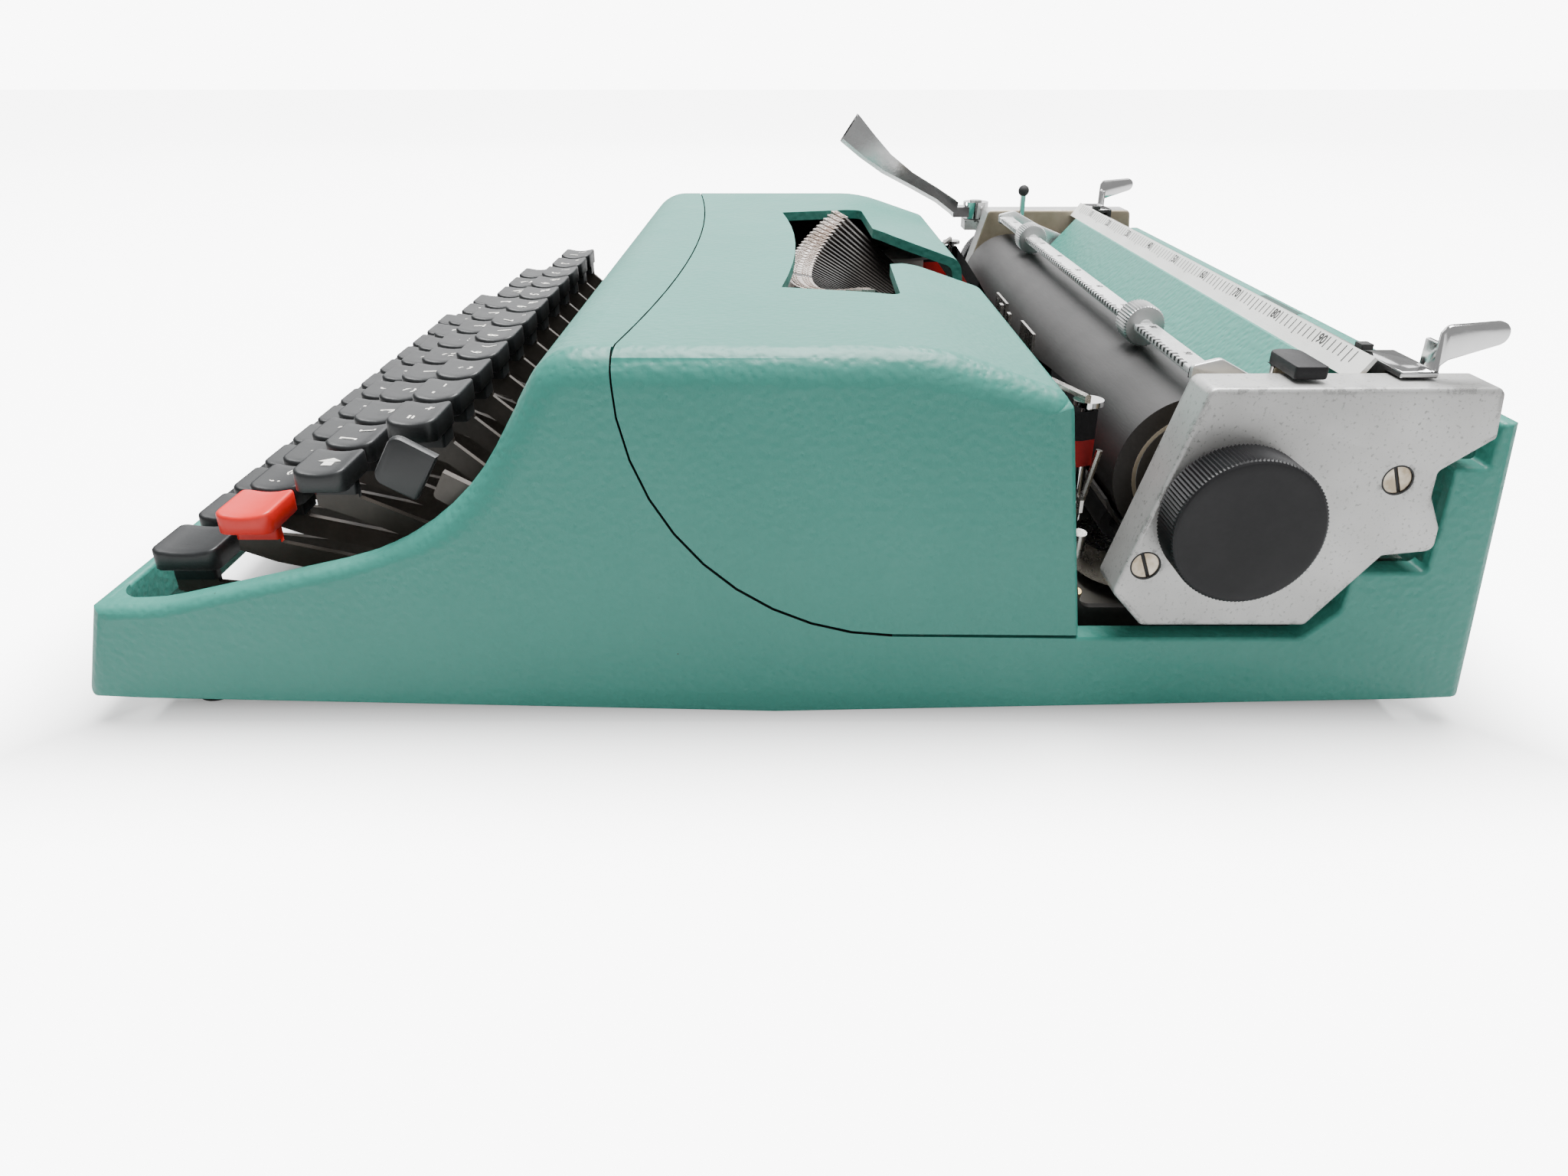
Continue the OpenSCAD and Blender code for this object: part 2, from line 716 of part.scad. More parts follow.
module feed_roller_set(at) {
    color(steel) rod_x(at, feed_shaft_r, -119.6, 119.6);
    color(rubber) for (x = feed_x) difference() {
        rod_x(at, feed_r, x - feed_len / 2, x + feed_len / 2);
        rod_x(at, feed_shaft_r, x - feed_len, x + feed_len);
    }
}

module front_feed_rollers() { feed_roller_set(front_feed); }

module rear_feed_rollers() { feed_roller_set(rear_feed); }

module paper_pan() {
    inner = platen_r + 1.1;
    outer = inner + 0.7;
    color(dark_steel) difference() {
        union() {
            translate([-112, axis_y, axis_z]) rotate([0, 90, 0]) intersection() {
                difference() {
                    cylinder(r = outer, h = 224);
                    translate([0, 0, -1]) cylinder(r = inner, h = 226);
                }
                block([7, -30, -1], [30, 30, 226]);
            }
            block([-112, axis_y + 18.2, 46.4], [112, 121, 47.6]);
        }
        for (x = feed_x) block([x - feed_len / 2 - 1.5, 78, 25], [x + feed_len / 2 + 1.5, 111.4, 38.4]);
    }
}

// ---- bail and levers ----

module paper_bail() {
    color(bright) union() {
        both_sides() difference() {
            along_x(bail_x, bail_x + 1.8) polygon(rounded([
                [117.5, 65, 3], [117.5, 71.5, 3], [106, 76, 10], [95.5, 81.5, 2], [89.5, 80, 1],
                [89.5, 76.6, 1], [98, 75.4, 6], [110.5, 65.5, 3]]));
            rod_x(bail_pin, 2 + run, bail_x - 1, bail_x + 3);
        }
        difference() {
            block([-bail_x, 89.8, 77.3], [bail_x, 95.4, 78.9]);
            for (x = bail_roller_x)
                block([x - bail_roller_len / 2 - 0.3, 85, 70], [x + bail_roller_len / 2 + 0.3, 99, 85]);
        }
        for (x = bail_roller_x)
            rod_x(bail_rod, 1.9, x - bail_roller_len / 2 - 0.3, x + bail_roller_len / 2 + 0.3);
    }
}

module bail_rollers() {
    color(steel) for (x = bail_roller_x) difference() {
        rod_x(bail_rod, bail_roller_r, x - bail_roller_len / 2, x + bail_roller_len / 2);
        rod_x(bail_rod, 1.9 + run, x - bail_roller_len, x + bail_roller_len);
    }
}

module return_lever() {
    color(bright) difference() {
        union() {
            translate([lever_x, lever_y, 75.3]) cylinder(r = 5.4, h = 6.7);
            along_x(lever_x - 5.3, lever_x + 5.3) polygon(rounded([
                [lever_y, 75.4, 0], [lever_y, 82, 0], [72, 90.5, 8], [52, 101, 20], [42, 110, 10],
                [33, 117, 1.5], [25, 105.5, 1.5], [43, 93.5, 20], [66, 82, 10], [75, 75.4, 4]]));
        }
        translate([lever_x, lever_y, 60]) cylinder(r = 2.5 + run, h = 40);
    }
}

module line_space_lever() {
    color(steel) {
        difference() {
            along_x(-122.8, -121) polygon(rounded([
                [96.6, 64.6, 2.5], [103.4, 64.6, 2.5], [103.4, 70, 2], [100.9, 73, 1], [100.9, 86.6, 0],
                [99.1, 86.6, 0], [99.1, 73, 1], [96.6, 70, 2]]));
            rod_x(spacer_pin, 1.4 + run, -124, -120);
        }
        translate([-121.9, 100, 88.4]) sphere(r = 2.2);
    }
}

module paper_release_lever() {
    color(dark_steel) difference() {
        along_x(118.2, 120.6) polygon(rounded([
            [103.4, 62.4, 3], [110.6, 62.4, 3], [110.6, 68, 2], [109, 74, 1], [109, 81.2, 0],
            [105, 81.2, 0], [105, 74, 1], [103.4, 68, 2]]));
        rod_x(release_pin, 1.4 + run, 117, 122);
    }
    color(black) translate([0, 0, 81.2]) linear_extrude(2.8) polygon(rounded([
        [117.2, 104.3, 2.5], [132, 104.3, 0.8], [132, 111, 0.8], [117.2, 111, 2.5]]));
}

// ---- drive ----

module mainspring_drum() {
    color(steel) translate([-70, 95, 12]) cylinder(r = 20, h = 9);
}

module escapement_wheel() {
    teeth = 50;
    color(bright) translate([20, 106, 12]) linear_extrude(3) polygon(
        [for (i = [0 : 2 * teeth - 1]) (i % 2 == 0 ? 13 : 11.5) * [cos(i * 180 / teeth), sin(i * 180 / teeth)]]);
}

module bell() {
    color(bright) translate([75, 98, 9]) union() {
        cylinder(r = 2.5, h = 13);
        translate([0, 0, 4]) difference() {
            cylinder(r = 16, h = 9);
            translate([0, 0, -1]) cylinder(r = 14.8, h = 8.8);
        }
    }
}

body_shell();
ribbon_cover();
base_frame();
rubber_feet();
side_frames();
key_fulcrum_rod();
key_comb();
typebar_segment();
typebars();
type_slugs();
typebar_rest();
centre_typebar();
row_caps(0);  // lower_row_caps
row_levers(0);  // lower_row_levers
row_caps(1);  // home_row_caps
row_levers(1);  // home_row_levers
row_caps(2);  // upper_row_caps
row_levers(2);  // upper_row_levers
row_caps(3);  // number_row_caps
row_levers(3);  // number_row_levers
centre_key();
space_bar();
shift_keys();
shift_lock_key();
backspace_key();
tab_key();
margin_release_key();
colour_selector();
left_spool();
right_spool();
spool_cups();
ribbon();
ribbon_posts();
ribbon_vibrator();
card_guides();
carriage_rail();
carriage_frame();
left_end_plate();
right_end_plate();
end_plate_screws();
paper_table();
scale_strip();
margin_rail();
left_margin_stop();
right_margin_stop();
platen();
platen_shaft();
left_knob();
right_knob();
front_feed_rollers();
rear_feed_rollers();
paper_pan();
paper_bail();
bail_rollers();
return_lever();
line_space_lever();
paper_release_lever();
mainspring_drum();
escapement_wheel();
bell();
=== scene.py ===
import math
import bmesh
import bpy
from mathutils import Matrix, Vector


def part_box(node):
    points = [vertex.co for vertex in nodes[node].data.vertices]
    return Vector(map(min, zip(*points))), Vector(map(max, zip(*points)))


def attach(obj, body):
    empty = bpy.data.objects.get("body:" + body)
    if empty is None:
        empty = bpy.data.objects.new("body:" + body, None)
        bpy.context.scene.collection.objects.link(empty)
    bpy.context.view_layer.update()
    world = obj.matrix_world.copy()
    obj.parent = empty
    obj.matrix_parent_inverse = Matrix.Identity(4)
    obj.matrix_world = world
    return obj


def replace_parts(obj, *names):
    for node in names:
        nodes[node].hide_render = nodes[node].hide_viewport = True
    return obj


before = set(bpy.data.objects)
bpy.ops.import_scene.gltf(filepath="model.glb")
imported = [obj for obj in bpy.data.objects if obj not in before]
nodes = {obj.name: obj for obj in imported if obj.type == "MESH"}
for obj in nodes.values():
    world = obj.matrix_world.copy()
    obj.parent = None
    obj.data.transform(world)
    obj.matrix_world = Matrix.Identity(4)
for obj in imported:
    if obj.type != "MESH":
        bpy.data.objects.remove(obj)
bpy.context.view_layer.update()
# Metres in a millimetre: pieces are drawn in millimetres and scaled once, in make()
MM = 0.001


# ---- materials ----

def new_material(name):
    """A material with its nodes and links, holding one plain shader."""
    mat = bpy.data.materials.new(name)
    mat.use_nodes = True
    return mat, mat.node_tree.nodes, mat.node_tree.links


def mixed(mat, fac, low, high):
    """A colour that runs from low to high as the socket fac goes from 0 to 1."""
    tree = mat.node_tree
    mix = tree.nodes.new("ShaderNodeMix")
    mix.data_type = "RGBA"
    mix.inputs[6].default_value = (*low, 1)
    mix.inputs[7].default_value = (*high, 1)
    tree.links.new(fac, mix.inputs[0])
    return mix.outputs[2]


def placed_texture(mat, kind, scale, stretch=(1, 1, 1)):
    """A procedural texture in the object's own coordinates."""
    tree = mat.node_tree
    coord = tree.nodes.new("ShaderNodeTexCoord")
    place = tree.nodes.new("ShaderNodeMapping")
    place.inputs["Scale"].default_value = stretch
    tex = tree.nodes.new(kind)
    tex.inputs["Scale"].default_value = scale
    tree.links.new(coord.outputs["Object"], place.inputs[0])
    tree.links.new(place.outputs[0], tex.inputs["Vector"])
    return tex


def overlay(mat, fac, under, colour):
    """The colour socket under, with a plain colour laid over it where fac is 1."""
    mix = mat.node_tree.nodes.new("ShaderNodeMix")
    mix.data_type = "RGBA"
    mix.inputs[7].default_value = (*colour, 1)
    mat.node_tree.links.new(fac, mix.inputs[0])
    mat.node_tree.links.new(under, mix.inputs[6])
    return mix.outputs[2]


def noise(mat, scale, detail, rough, stretch=(1, 1, 1)):
    """Soft patches, as a socket from 0 to 1."""
    tex = placed_texture(mat, "ShaderNodeTexNoise", scale, stretch)
    tex.inputs["Detail"].default_value = detail
    tex.inputs["Roughness"].default_value = rough
    return tex.outputs["Fac"]


def cells(mat, scale, feature="F1"):
    """Distance from the middle of the nearest of many random cells."""
    tex = placed_texture(mat, "ShaderNodeTexVoronoi", scale)
    tex.feature = feature
    return tex.outputs["Distance"]


def ramp(mat, fac, start, end):
    """The socket fac spread so that start becomes 0 and end becomes 1."""
    node = mat.node_tree.nodes.new("ShaderNodeMapRange")
    node.inputs["From Min"].default_value = start
    node.inputs["From Max"].default_value = end
    mat.node_tree.links.new(fac, node.inputs["Value"])
    return node.outputs["Result"]


def maths(mat, operation, *values):
    """A math node; each value is a socket or a number."""
    tree = mat.node_tree
    node = tree.nodes.new("ShaderNodeMath")
    node.operation = operation
    for slot, value in zip(node.inputs, values):
        if isinstance(value, (int, float)):
            slot.default_value = value
        else:
            tree.links.new(value, slot)
    return node.outputs[0]


def bump(mat, height, strength, distance, below=None):
    """A relief on the shader, laid over the relief below when one is given."""
    tree = mat.node_tree
    node = tree.nodes.new("ShaderNodeBump")
    node.inputs["Strength"].default_value = strength
    node.inputs["Distance"].default_value = distance
    tree.links.new(height, node.inputs["Height"])
    if below:
        tree.links.new(below, node.inputs["Normal"])
    tree.links.new(node.outputs["Normal"], tree.nodes["Principled BSDF"].inputs["Normal"])
    return node.outputs["Normal"]


def finish_of(name, low, high, rough, metal=0.0, patch=40.0, grain=900.0, depth=0.00006,
              stretch=(1, 1, 1), specular=0.5, rough_spread=0.12):
    """A material with soft patches of two close colours, uneven gloss and a fine grain."""
    mat, tree_nodes, links = new_material(name)
    shader = tree_nodes["Principled BSDF"]
    patches = noise(mat, patch, 4.0, 0.55)
    links.new(mixed(mat, ramp(mat, patches, 0.35, 0.68), low, high), shader.inputs["Base Color"])
    gloss = tree_nodes.new("ShaderNodeMapRange")
    gloss.inputs["To Min"].default_value = max(0.03, rough - rough_spread / 2)
    gloss.inputs["To Max"].default_value = min(1.0, rough + rough_spread / 2)
    links.new(noise(mat, patch * 5, 4.0, 0.6, stretch), gloss.inputs["Value"])
    links.new(gloss.outputs["Result"], shader.inputs["Roughness"])
    shader.inputs["Metallic"].default_value = metal
    shader.inputs["Specular IOR Level"].default_value = specular
    bump(mat, noise(mat, grain, 2.0, 0.5, stretch), 0.35, depth)
    return mat


def crackle_paint():
    """Satin enamel over a leather grain, with faint grime and a few dark specks."""
    mat, tree_nodes, links = new_material("crackle_paint")
    shader = tree_nodes["Principled BSDF"]
    patches = ramp(mat, noise(mat, 9.0, 5.0, 0.6), 0.3, 0.7)
    base = mixed(mat, patches, (0.030, 0.205, 0.162), (0.042, 0.235, 0.188))
    speck = ramp(mat, cells(mat, 60.0), 0.018, 0.012)
    links.new(overlay(mat, speck, base, (0.05, 0.07, 0.06)), shader.inputs["Base Color"])
    gloss = tree_nodes.new("ShaderNodeMapRange")
    gloss.inputs["To Min"].default_value = 0.36
    gloss.inputs["To Max"].default_value = 0.52
    links.new(noise(mat, 60.0, 4.0, 0.6), gloss.inputs["Value"])
    links.new(gloss.outputs["Result"], shader.inputs["Roughness"])
    shader.inputs["Specular IOR Level"].default_value = 0.45
    first = bump(mat, cells(mat, 620.0, "SMOOTH_F1"), 0.5, 0.0004)
    bump(mat, noise(mat, 420.0, 4.0, 0.6), 0.25, 0.0003, first)
    return mat


def worn_plate():
    """Silvered casting with a speckled grain and dark chips along its edges."""
    mat = finish_of("plate_metal", (0.44, 0.44, 0.43), (0.54, 0.54, 0.53), 0.40, 0.5, patch=45,
                    grain=1500, depth=0.00005)
    tree = mat.node_tree
    shader = tree.nodes["Principled BSDF"]
    soft = tree.nodes.new("ShaderNodeBevel")
    soft.samples = 3
    soft.inputs["Radius"].default_value = 0.0024
    plain = tree.nodes.new("ShaderNodeNewGeometry")
    turn = tree.nodes.new("ShaderNodeVectorMath")
    turn.operation = "DOT_PRODUCT"
    tree.links.new(soft.outputs["Normal"], turn.inputs[0])
    tree.links.new(plain.outputs["True Normal"], turn.inputs[1])
    edge = ramp(mat, turn.outputs["Value"], 0.97, 0.86)
    spots = ramp(mat, noise(mat, 170.0, 6.0, 0.75), 0.53, 0.56)
    chips = maths(mat, "MULTIPLY", edge, spots)
    grey = shader.inputs["Base Color"].links[0].from_socket
    grain = ramp(mat, noise(mat, 1300.0, 2.0, 0.5), 0.60, 0.72)
    speckled = overlay(mat, grain, grey, (0.30, 0.30, 0.29))
    worn = overlay(mat, chips, speckled, (0.03, 0.028, 0.026))
    tree.links.new(worn, shader.inputs["Base Color"])
    return mat


SMOOTH = {"grain": 1400, "depth": 0.00003}
WOVEN = {"grain": 2600, "depth": 0.0001}

paint = crackle_paint()
plate_metal = worn_plate()
key_black = finish_of("key_black", (0.009, 0.010, 0.011), (0.016, 0.018, 0.019), 0.44, **SMOOTH)
key_red = finish_of("key_red", (0.66, 0.012, 0.008), (0.74, 0.020, 0.013), 0.42, **SMOOTH)
legend_white = finish_of("legend_white", (0.80, 0.78, 0.70), (0.90, 0.88, 0.82), 0.55)
# Dark enamel of the real dark parts, also used as painted shade inside the casing.
dark_enamel_and_shade = finish_of("dark_enamel_and_shade", (0.018, 0.017, 0.016), (0.035, 0.033, 0.031), 0.40, patch=70)
lever_grey = finish_of("lever_grey", (0.040, 0.034, 0.028), (0.075, 0.065, 0.055), 0.42, 0.2, patch=60)
nickel = finish_of("nickel", (0.42, 0.40, 0.37), (0.60, 0.59, 0.56), 0.28, 1.0, patch=90, rough_spread=0.22)
chrome = finish_of("chrome", (0.62, 0.62, 0.62), (0.74, 0.74, 0.74), 0.10, 1.0, patch=60, depth=0.00002)
platen_black = finish_of("platen_black", (0.014, 0.013, 0.013), (0.028, 0.026, 0.026), 0.52, patch=30,
                         stretch=(0.4, 3, 3))
# Black rubber of the real feet, rollers and stops, also used as painted shade at the seam and the screw
# seats.
rubber_black_and_shade = finish_of("rubber_black_and_shade", (0.018, 0.018, 0.018), (0.032, 0.032, 0.032), 0.75)
knob_black = finish_of("knob_black", (0.005, 0.005, 0.006), (0.010, 0.010, 0.011), 0.48, patch=60,
                       depth=0.00003, specular=0.28)
spool_grey = finish_of("spool_grey", (0.50, 0.50, 0.49), (0.62, 0.62, 0.60), 0.40, 0.2, patch=60)
ribbon_ink = finish_of("ribbon_ink", (0.010, 0.010, 0.012), (0.028, 0.026, 0.028), 0.80, **WOVEN)
ribbon_red = finish_of("ribbon_red", (0.34, 0.018, 0.020), (0.48, 0.030, 0.028), 0.75, **WOVEN)
scale_metal = finish_of("scale_metal", (0.74, 0.74, 0.71), (0.86, 0.86, 0.83), 0.40, 0.2, patch=60,
                        stretch=(0.2, 4, 4))
scale_ink = finish_of("scale_ink", (0.015, 0.015, 0.015), (0.03, 0.03, 0.03), 0.6)
brass = finish_of("brass", (0.46, 0.31, 0.13), (0.60, 0.43, 0.20), 0.30, 1.0, patch=80)
bar_steel = finish_of("bar_steel", (0.018, 0.016, 0.015), (0.045, 0.040, 0.036), 0.35, 0.3, patch=80)
slug_metal = finish_of("slug_metal", (0.56, 0.46, 0.40), (0.86, 0.80, 0.76), 0.28, 0.75, patch=90,
                       rough_spread=0.3)
screw_metal = finish_of("screw_metal", (0.34, 0.28, 0.20), (0.62, 0.56, 0.46), 0.32, 0.9, patch=300)
satin_grey = finish_of("satin_grey", (0.34, 0.34, 0.34), (0.46, 0.46, 0.46), 0.36, 0.6, patch=60)
bail_metal = finish_of("bail_metal", (0.78, 0.78, 0.78), (0.90, 0.90, 0.90), 0.26, 0.45, patch=60,
                       depth=0.00002)
base_grey = finish_of("base_grey", (0.20, 0.19, 0.17), (0.26, 0.25, 0.22), 0.6, patch=50)
slot_shade = finish_of("slot_shade", (0.008, 0.045, 0.036), (0.014, 0.06, 0.048), 0.6)
tan_metal = finish_of("tan_metal", (0.24, 0.20, 0.14), (0.36, 0.31, 0.23), 0.5, 0.4, patch=60)


# ---- mesh helpers ----

def make(name, bm, body, *materials, smooth=32):
    """Turns a bmesh, in millimetres, into a piece that rides on a body."""
    bmesh.ops.recalc_face_normals(bm, faces=bm.faces)
    for v in bm.verts:
        v.co *= MM
    mesh = bpy.data.meshes.new(name)
    bm.to_mesh(mesh)
    bm.free()
    for m in materials:
        mesh.materials.append(m)
    obj = bpy.data.objects.new(name, mesh)
    bpy.context.collection.objects.link(obj)
    mesh.shade_smooth()
    mesh.set_sharp_from_angle(angle=math.radians(smooth))
    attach(obj, body)
    return obj


def copy_of(node):
    """The node's solid as a bmesh in millimetres, with its flat faces whole again."""
    bm = bmesh.new()
    bm.from_mesh(nodes[node].data)
    for v in bm.verts:
        v.co /= MM
    bmesh.ops.remove_doubles(bm, verts=bm.verts, dist=0.002)
    bmesh.ops.dissolve_limit(bm, angle_limit=math.radians(0.6), verts=bm.verts, edges=bm.edges)
    return bm


def bevel(bm, pick, width, segments=2):
    """Rounds the sharp edges for which pick(middle, edge) is true."""
    edges = [e for e in bm.edges if len(e.link_faces) == 2 and e.calc_face_angle(0) > math.radians(40)
             and pick((e.verts[0].co + e.verts[1].co) / 2, e)]
    if edges:
        bmesh.ops.bevel(bm, geom=edges, offset=width, offset_type="OFFSET", segments=segments, profile=0.5,
                        affect="EDGES", clamp_overlap=False, miter_outer="SHARP")


def tint(bm, pick):
    """Gives the faces for which pick(middle, normal) is true the second material."""
    for f in bm.faces:
        if pick(f.calc_center_median(), f.normal):
            f.material_index = 1


def eased(node, body, width, *materials, pick=lambda p, e: True, segments=2, second=None):
    """A CAD solid with its edges eased; second(middle, normal) picks the faces of the second material."""
    bm = copy_of(node)
    bevel(bm, pick, width, segments)
    if second:
        tint(bm, second)
    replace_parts(make(node + "_skin", bm, body, *materials), node)


def box(bm, low, high):
    """An upright block between two corners."""
    for v in bmesh.ops.create_cube(bm, size=1)["verts"]:
        v.co = Vector([low[i] + (v.co[i] + 0.5) * (high[i] - low[i]) for i in range(3)])


def bar(bm, start, end, radius, sides, slot=0):
    """A round bar between two points."""
    start, end = Vector(start), Vector(end)
    turn = (end - start).to_track_quat("Z", "Y").to_matrix().to_4x4()
    place = Matrix.Translation((start + end) / 2) @ turn
    made = bmesh.ops.create_cone(bm, cap_ends=True, segments=sides, radius1=radius, radius2=radius,
                                 depth=(end - start).length, matrix=place)["verts"]
    for f in {f for v in made for f in v.link_faces}:
        f.material_index = slot


def bridge(bm, lower, upper, slot=0):
    """Joins two rings of equally many points with a band of faces."""
    n = len(lower)
    for i in range(n):
        bm.faces.new((lower[i], lower[(i + 1) % n], upper[(i + 1) % n], upper[i])).material_index = slot


def skin(bm, rings, slot=0):
    """A closed solid through a row of rings."""
    for a, b in zip(rings, rings[1:]):
        bridge(bm, a, b, slot)
    bm.faces.new(rings[0]).material_index = slot
    bm.faces.new(rings[-1]).material_index = slot


def polar(r, degrees):
    """A point at a radius and an angle, as two coordinates."""
    return Vector((r * math.cos(math.radians(degrees)), r * math.sin(math.radians(degrees))))


def lathe(bm, centre, stations, sides, ridge=0.0, slot=0):
    """A turned part about a line along X; stations are (x, radius, knurled) from one end to the other."""
    rings = []
    for x, radius, knurled in stations:
        ring = []
        for i in range(sides):
            turn = 2 * math.pi * i / sides
            r = radius - (ridge if knurled and i % 2 else 0)
            ring.append(bm.verts.new((x, centre[0] + r * math.cos(turn), centre[1] + r * math.sin(turn))))
        rings.append(ring)
    skin(bm, rings, slot)


def corner_arc(a, b, c, r, step=9):
    """The points that round the corner a-b-c of an outline."""
    if r <= 0:
        return [Vector(b)]
    b = Vector(b)
    u, v = (Vector(a) - b).normalized(), (Vector(c) - b).normalized()
    half = math.acos(max(-1, min(1, u.dot(v)))) / 2
    mid = b + (u + v).normalized() * r / math.sin(half)
    start, end = b + u * r / math.tan(half) - mid, b + v * r / math.tan(half) - mid
    turn = math.atan2(start.x * end.y - start.y * end.x, start.dot(end))
    first = math.atan2(start.y, start.x)
    steps = max(2, math.ceil(abs(math.degrees(turn)) / step - 0.001))
    return [mid + polar(r, math.degrees(first + turn * i / steps)) for i in range(steps + 1)]


def rounded(points, step=9):
    """An outline with every corner (a, b, radius) rounded."""
    out = []
    for i, (a, b, r) in enumerate(points):
        after = points[(i + 1) % len(points)]
        out += corner_arc(points[i - 1][:2], (a, b), after[:2], r, step)
    return out


def rounded_rect(w, d, r, parts=4):
    """A rounded rectangle with extra points along its sides."""
    corners = rounded([(x * w / 2, y * d / 2, r) for x, y in ((-1, -1), (1, -1), (1, 1), (-1, 1))], 22.5)
    n, out = len(corners) // 4, []
    for k in range(4):
        out += corners[k * n:(k + 1) * n]
        a, b = corners[(k + 1) * n - 1], corners[((k + 1) * n) % (4 * n)]
        out += [a.lerp(b, i / parts) for i in range(1, parts)]
    return out


def inward(points):
    """The mitred inward directions of an anticlockwise outline, one for each point."""
    out = []
    for i, p in enumerate(points):
        a, b = (p - points[i - 1]).normalized(), (points[(i + 1) % len(points)] - p).normalized()
        na, nb = Vector((-a.y, a.x)), Vector((-b.y, b.x))
        m = (na + nb).normalized()
        out.append(m / max(0.35, m.dot(na)))
    return out


def boolean(bm, other, operation):
    """Joins, cuts or keeps the common part of two closed meshes; both are used up."""
    objs = []
    for part in (bm, other):
        bmesh.ops.recalc_face_normals(part, faces=part.faces)
        mesh = bpy.data.meshes.new("work")
        part.to_mesh(mesh)
        part.free()
        objs.append(bpy.data.objects.new("work", mesh))
        bpy.context.collection.objects.link(objs[-1])
    mod = objs[0].modifiers.new("work", "BOOLEAN")
    mod.operation = operation
    mod.solver = "EXACT"
    mod.object = objs[1]
    bpy.context.view_layer.update()
    result = bmesh.new()
    result.from_mesh(objs[0].evaluated_get(bpy.context.evaluated_depsgraph_get()).data)
    for obj in objs:
        mesh = obj.data
        bpy.data.objects.remove(obj)
        bpy.data.meshes.remove(mesh)
    return result


def paint_node(node, material):
    """Gives a CAD node, left as it is, its material."""
    obj = nodes[node]
    obj.data.materials.clear()
    obj.data.materials.append(material)


def size_of(node):
    """The two corners of a node's box, in millimetres."""
    low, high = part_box(node)
    return [c / MM for c in low], [c / MM for c in high]


glyphs = {}


def glyph(text):
    """A flat mesh of some letters, one unit high and centred on the origin."""
    if text not in glyphs:
        curve = bpy.data.curves.new("glyph", "FONT")
        curve.body = text
        curve.align_x = "CENTER"
        curve.align_y = "CENTER"
        curve.resolution_u = 2
        curve.offset = 0.02
        obj = bpy.data.objects.new("glyph", curve)
        bpy.context.collection.objects.link(obj)
        bpy.context.view_layer.update()
        mesh = bpy.data.meshes.new_from_object(obj.evaluated_get(bpy.context.evaluated_depsgraph_get()))
        glyphs[text] = ([v.co.to_2d() for v in mesh.vertices], [tuple(p.vertices) for p in mesh.polygons])
        bpy.data.objects.remove(obj)
        bpy.data.curves.remove(curve)
        bpy.data.meshes.remove(mesh)
    return glyphs[text]


def write(bm, text, size, place):
    """Adds flat letters; place(u, v) gives the point for u to the right and v up, in millimetres."""
    points, faces = glyph(text)
    made = [bm.verts.new(place(p.x * size, p.y * size)) for p in points]
    for f in faces:
        bm.faces.new([made[i] for i in f])


# ---- casing ----

half_w = size_of("body_shell")[1][0]
deck_z = size_of("body_shell")[1][2]
# How far the envelopes stand off the flat faces they leave untouched
SLACK = 0.04
# Front and rear faces of the body, each as two points (Y, Z)
FRONT = ((-159.8, 8), (-153, 29.6))
REAR = ((158.5, 8), (152.8, 72.5))
# Wall of the casing, and the width and inner front edge of its rim round the keys
WALL = 3
RIM_W = 6
WELL_FRONT = -149.8
# Side seam between body and cover: an arc about (Y, Z), then a level line
SEAM_CENTRE = (27, 83.8)
SEAM_R = 60
SEAM_FLOOR = 23.4


def casing_outline():
    """Side view of body and cover together, anticlockwise from the front foot."""
    return rounded([
        (-160, 7, 3), (0, -0.9, 3000), (158.8, 6.6, 3), (152.8, 72.5, 1.5), (148.6, 72.5, 1),
        (148.4, 62.8, 1), (141.6, 62.8, 1), (142, 38.8, 1.5), (126, 38.8, 1.5), (125.5, 29.5, 3),
        (118, 22.4, 3), (68.3, 22.4, 0), (68, 23.2, 0), (60.6, 77.6, 5), (33, deck_z, 50),
        (-46.4, deck_z, 14), (-71.2, 45.2, 56), (-137.5, 29.9, 40), (-153, 29.6, 2)], 6)


def edge_radius(y, z):
    """Radius of the outer edge: broad along ridge and cover, smaller along rim, back and bottom."""
    if z < 20 or y > 60.4 and z < 76:
        return 1.2
    if y > 66:
        return 2.0
    blend = max(0, min(1, (y + 84) / 28))
    return 3.2 + 4.8 * blend * (2 - blend) if y < 50 else 8 - 3.4 * min(1, (y - 50) / 10)


def side_envelope():
    """A solid with the casing's side view and its rounded outer edges."""
    outline = casing_outline()
    steer = inward(outline)
    radii = [edge_radius(p.x, p.y) for p in outline]
    bm = bmesh.new()
    rings = []
    levels = [math.radians(a) for a in range(0, 91, 10)]
    for side, order in ((-1, reversed(levels)), (1, levels)):
        for a in order:
            ring = []
            for p, m, r in zip(outline, steer, radii):
                q = p + m * (r * (1 - math.cos(a)) - SLACK)
                ring.append(bm.verts.new((side * (half_w + SLACK - r * (1 - math.sin(a))), q.x, q.y)))
            rings.append(ring)
    skin(bm, rings)
    return bm


def plan_ring(z):
    """The casing's plan at a height, with the lean of its front and back."""
    lean_front = (FRONT[1][0] - FRONT[0][0]) / (FRONT[1][1] - FRONT[0][1])
    lean_rear = (REAR[1][0] - REAR[0][0]) / (REAR[1][1] - REAR[0][1])
    front = FRONT[0][0] + (z - FRONT[0][1]) * lean_front - SLACK
    rear = REAR[0][0] + (z - REAR[0][1]) * lean_rear + SLACK
    w = half_w + SLACK
    return rounded([(-w, front, 5.5), (w, front, 5.5), (w, rear, 3.5), (-w, rear, 3.5)], 7)


def plan_envelope():
    """A solid with the casing's plan, taller than the casing."""
    bm = bmesh.new()
    skin(bm, [[bm.verts.new((p.x, p.y, z)) for p in plan_ring(z)] for z in (-6, deck_z + 9)])
    return bm


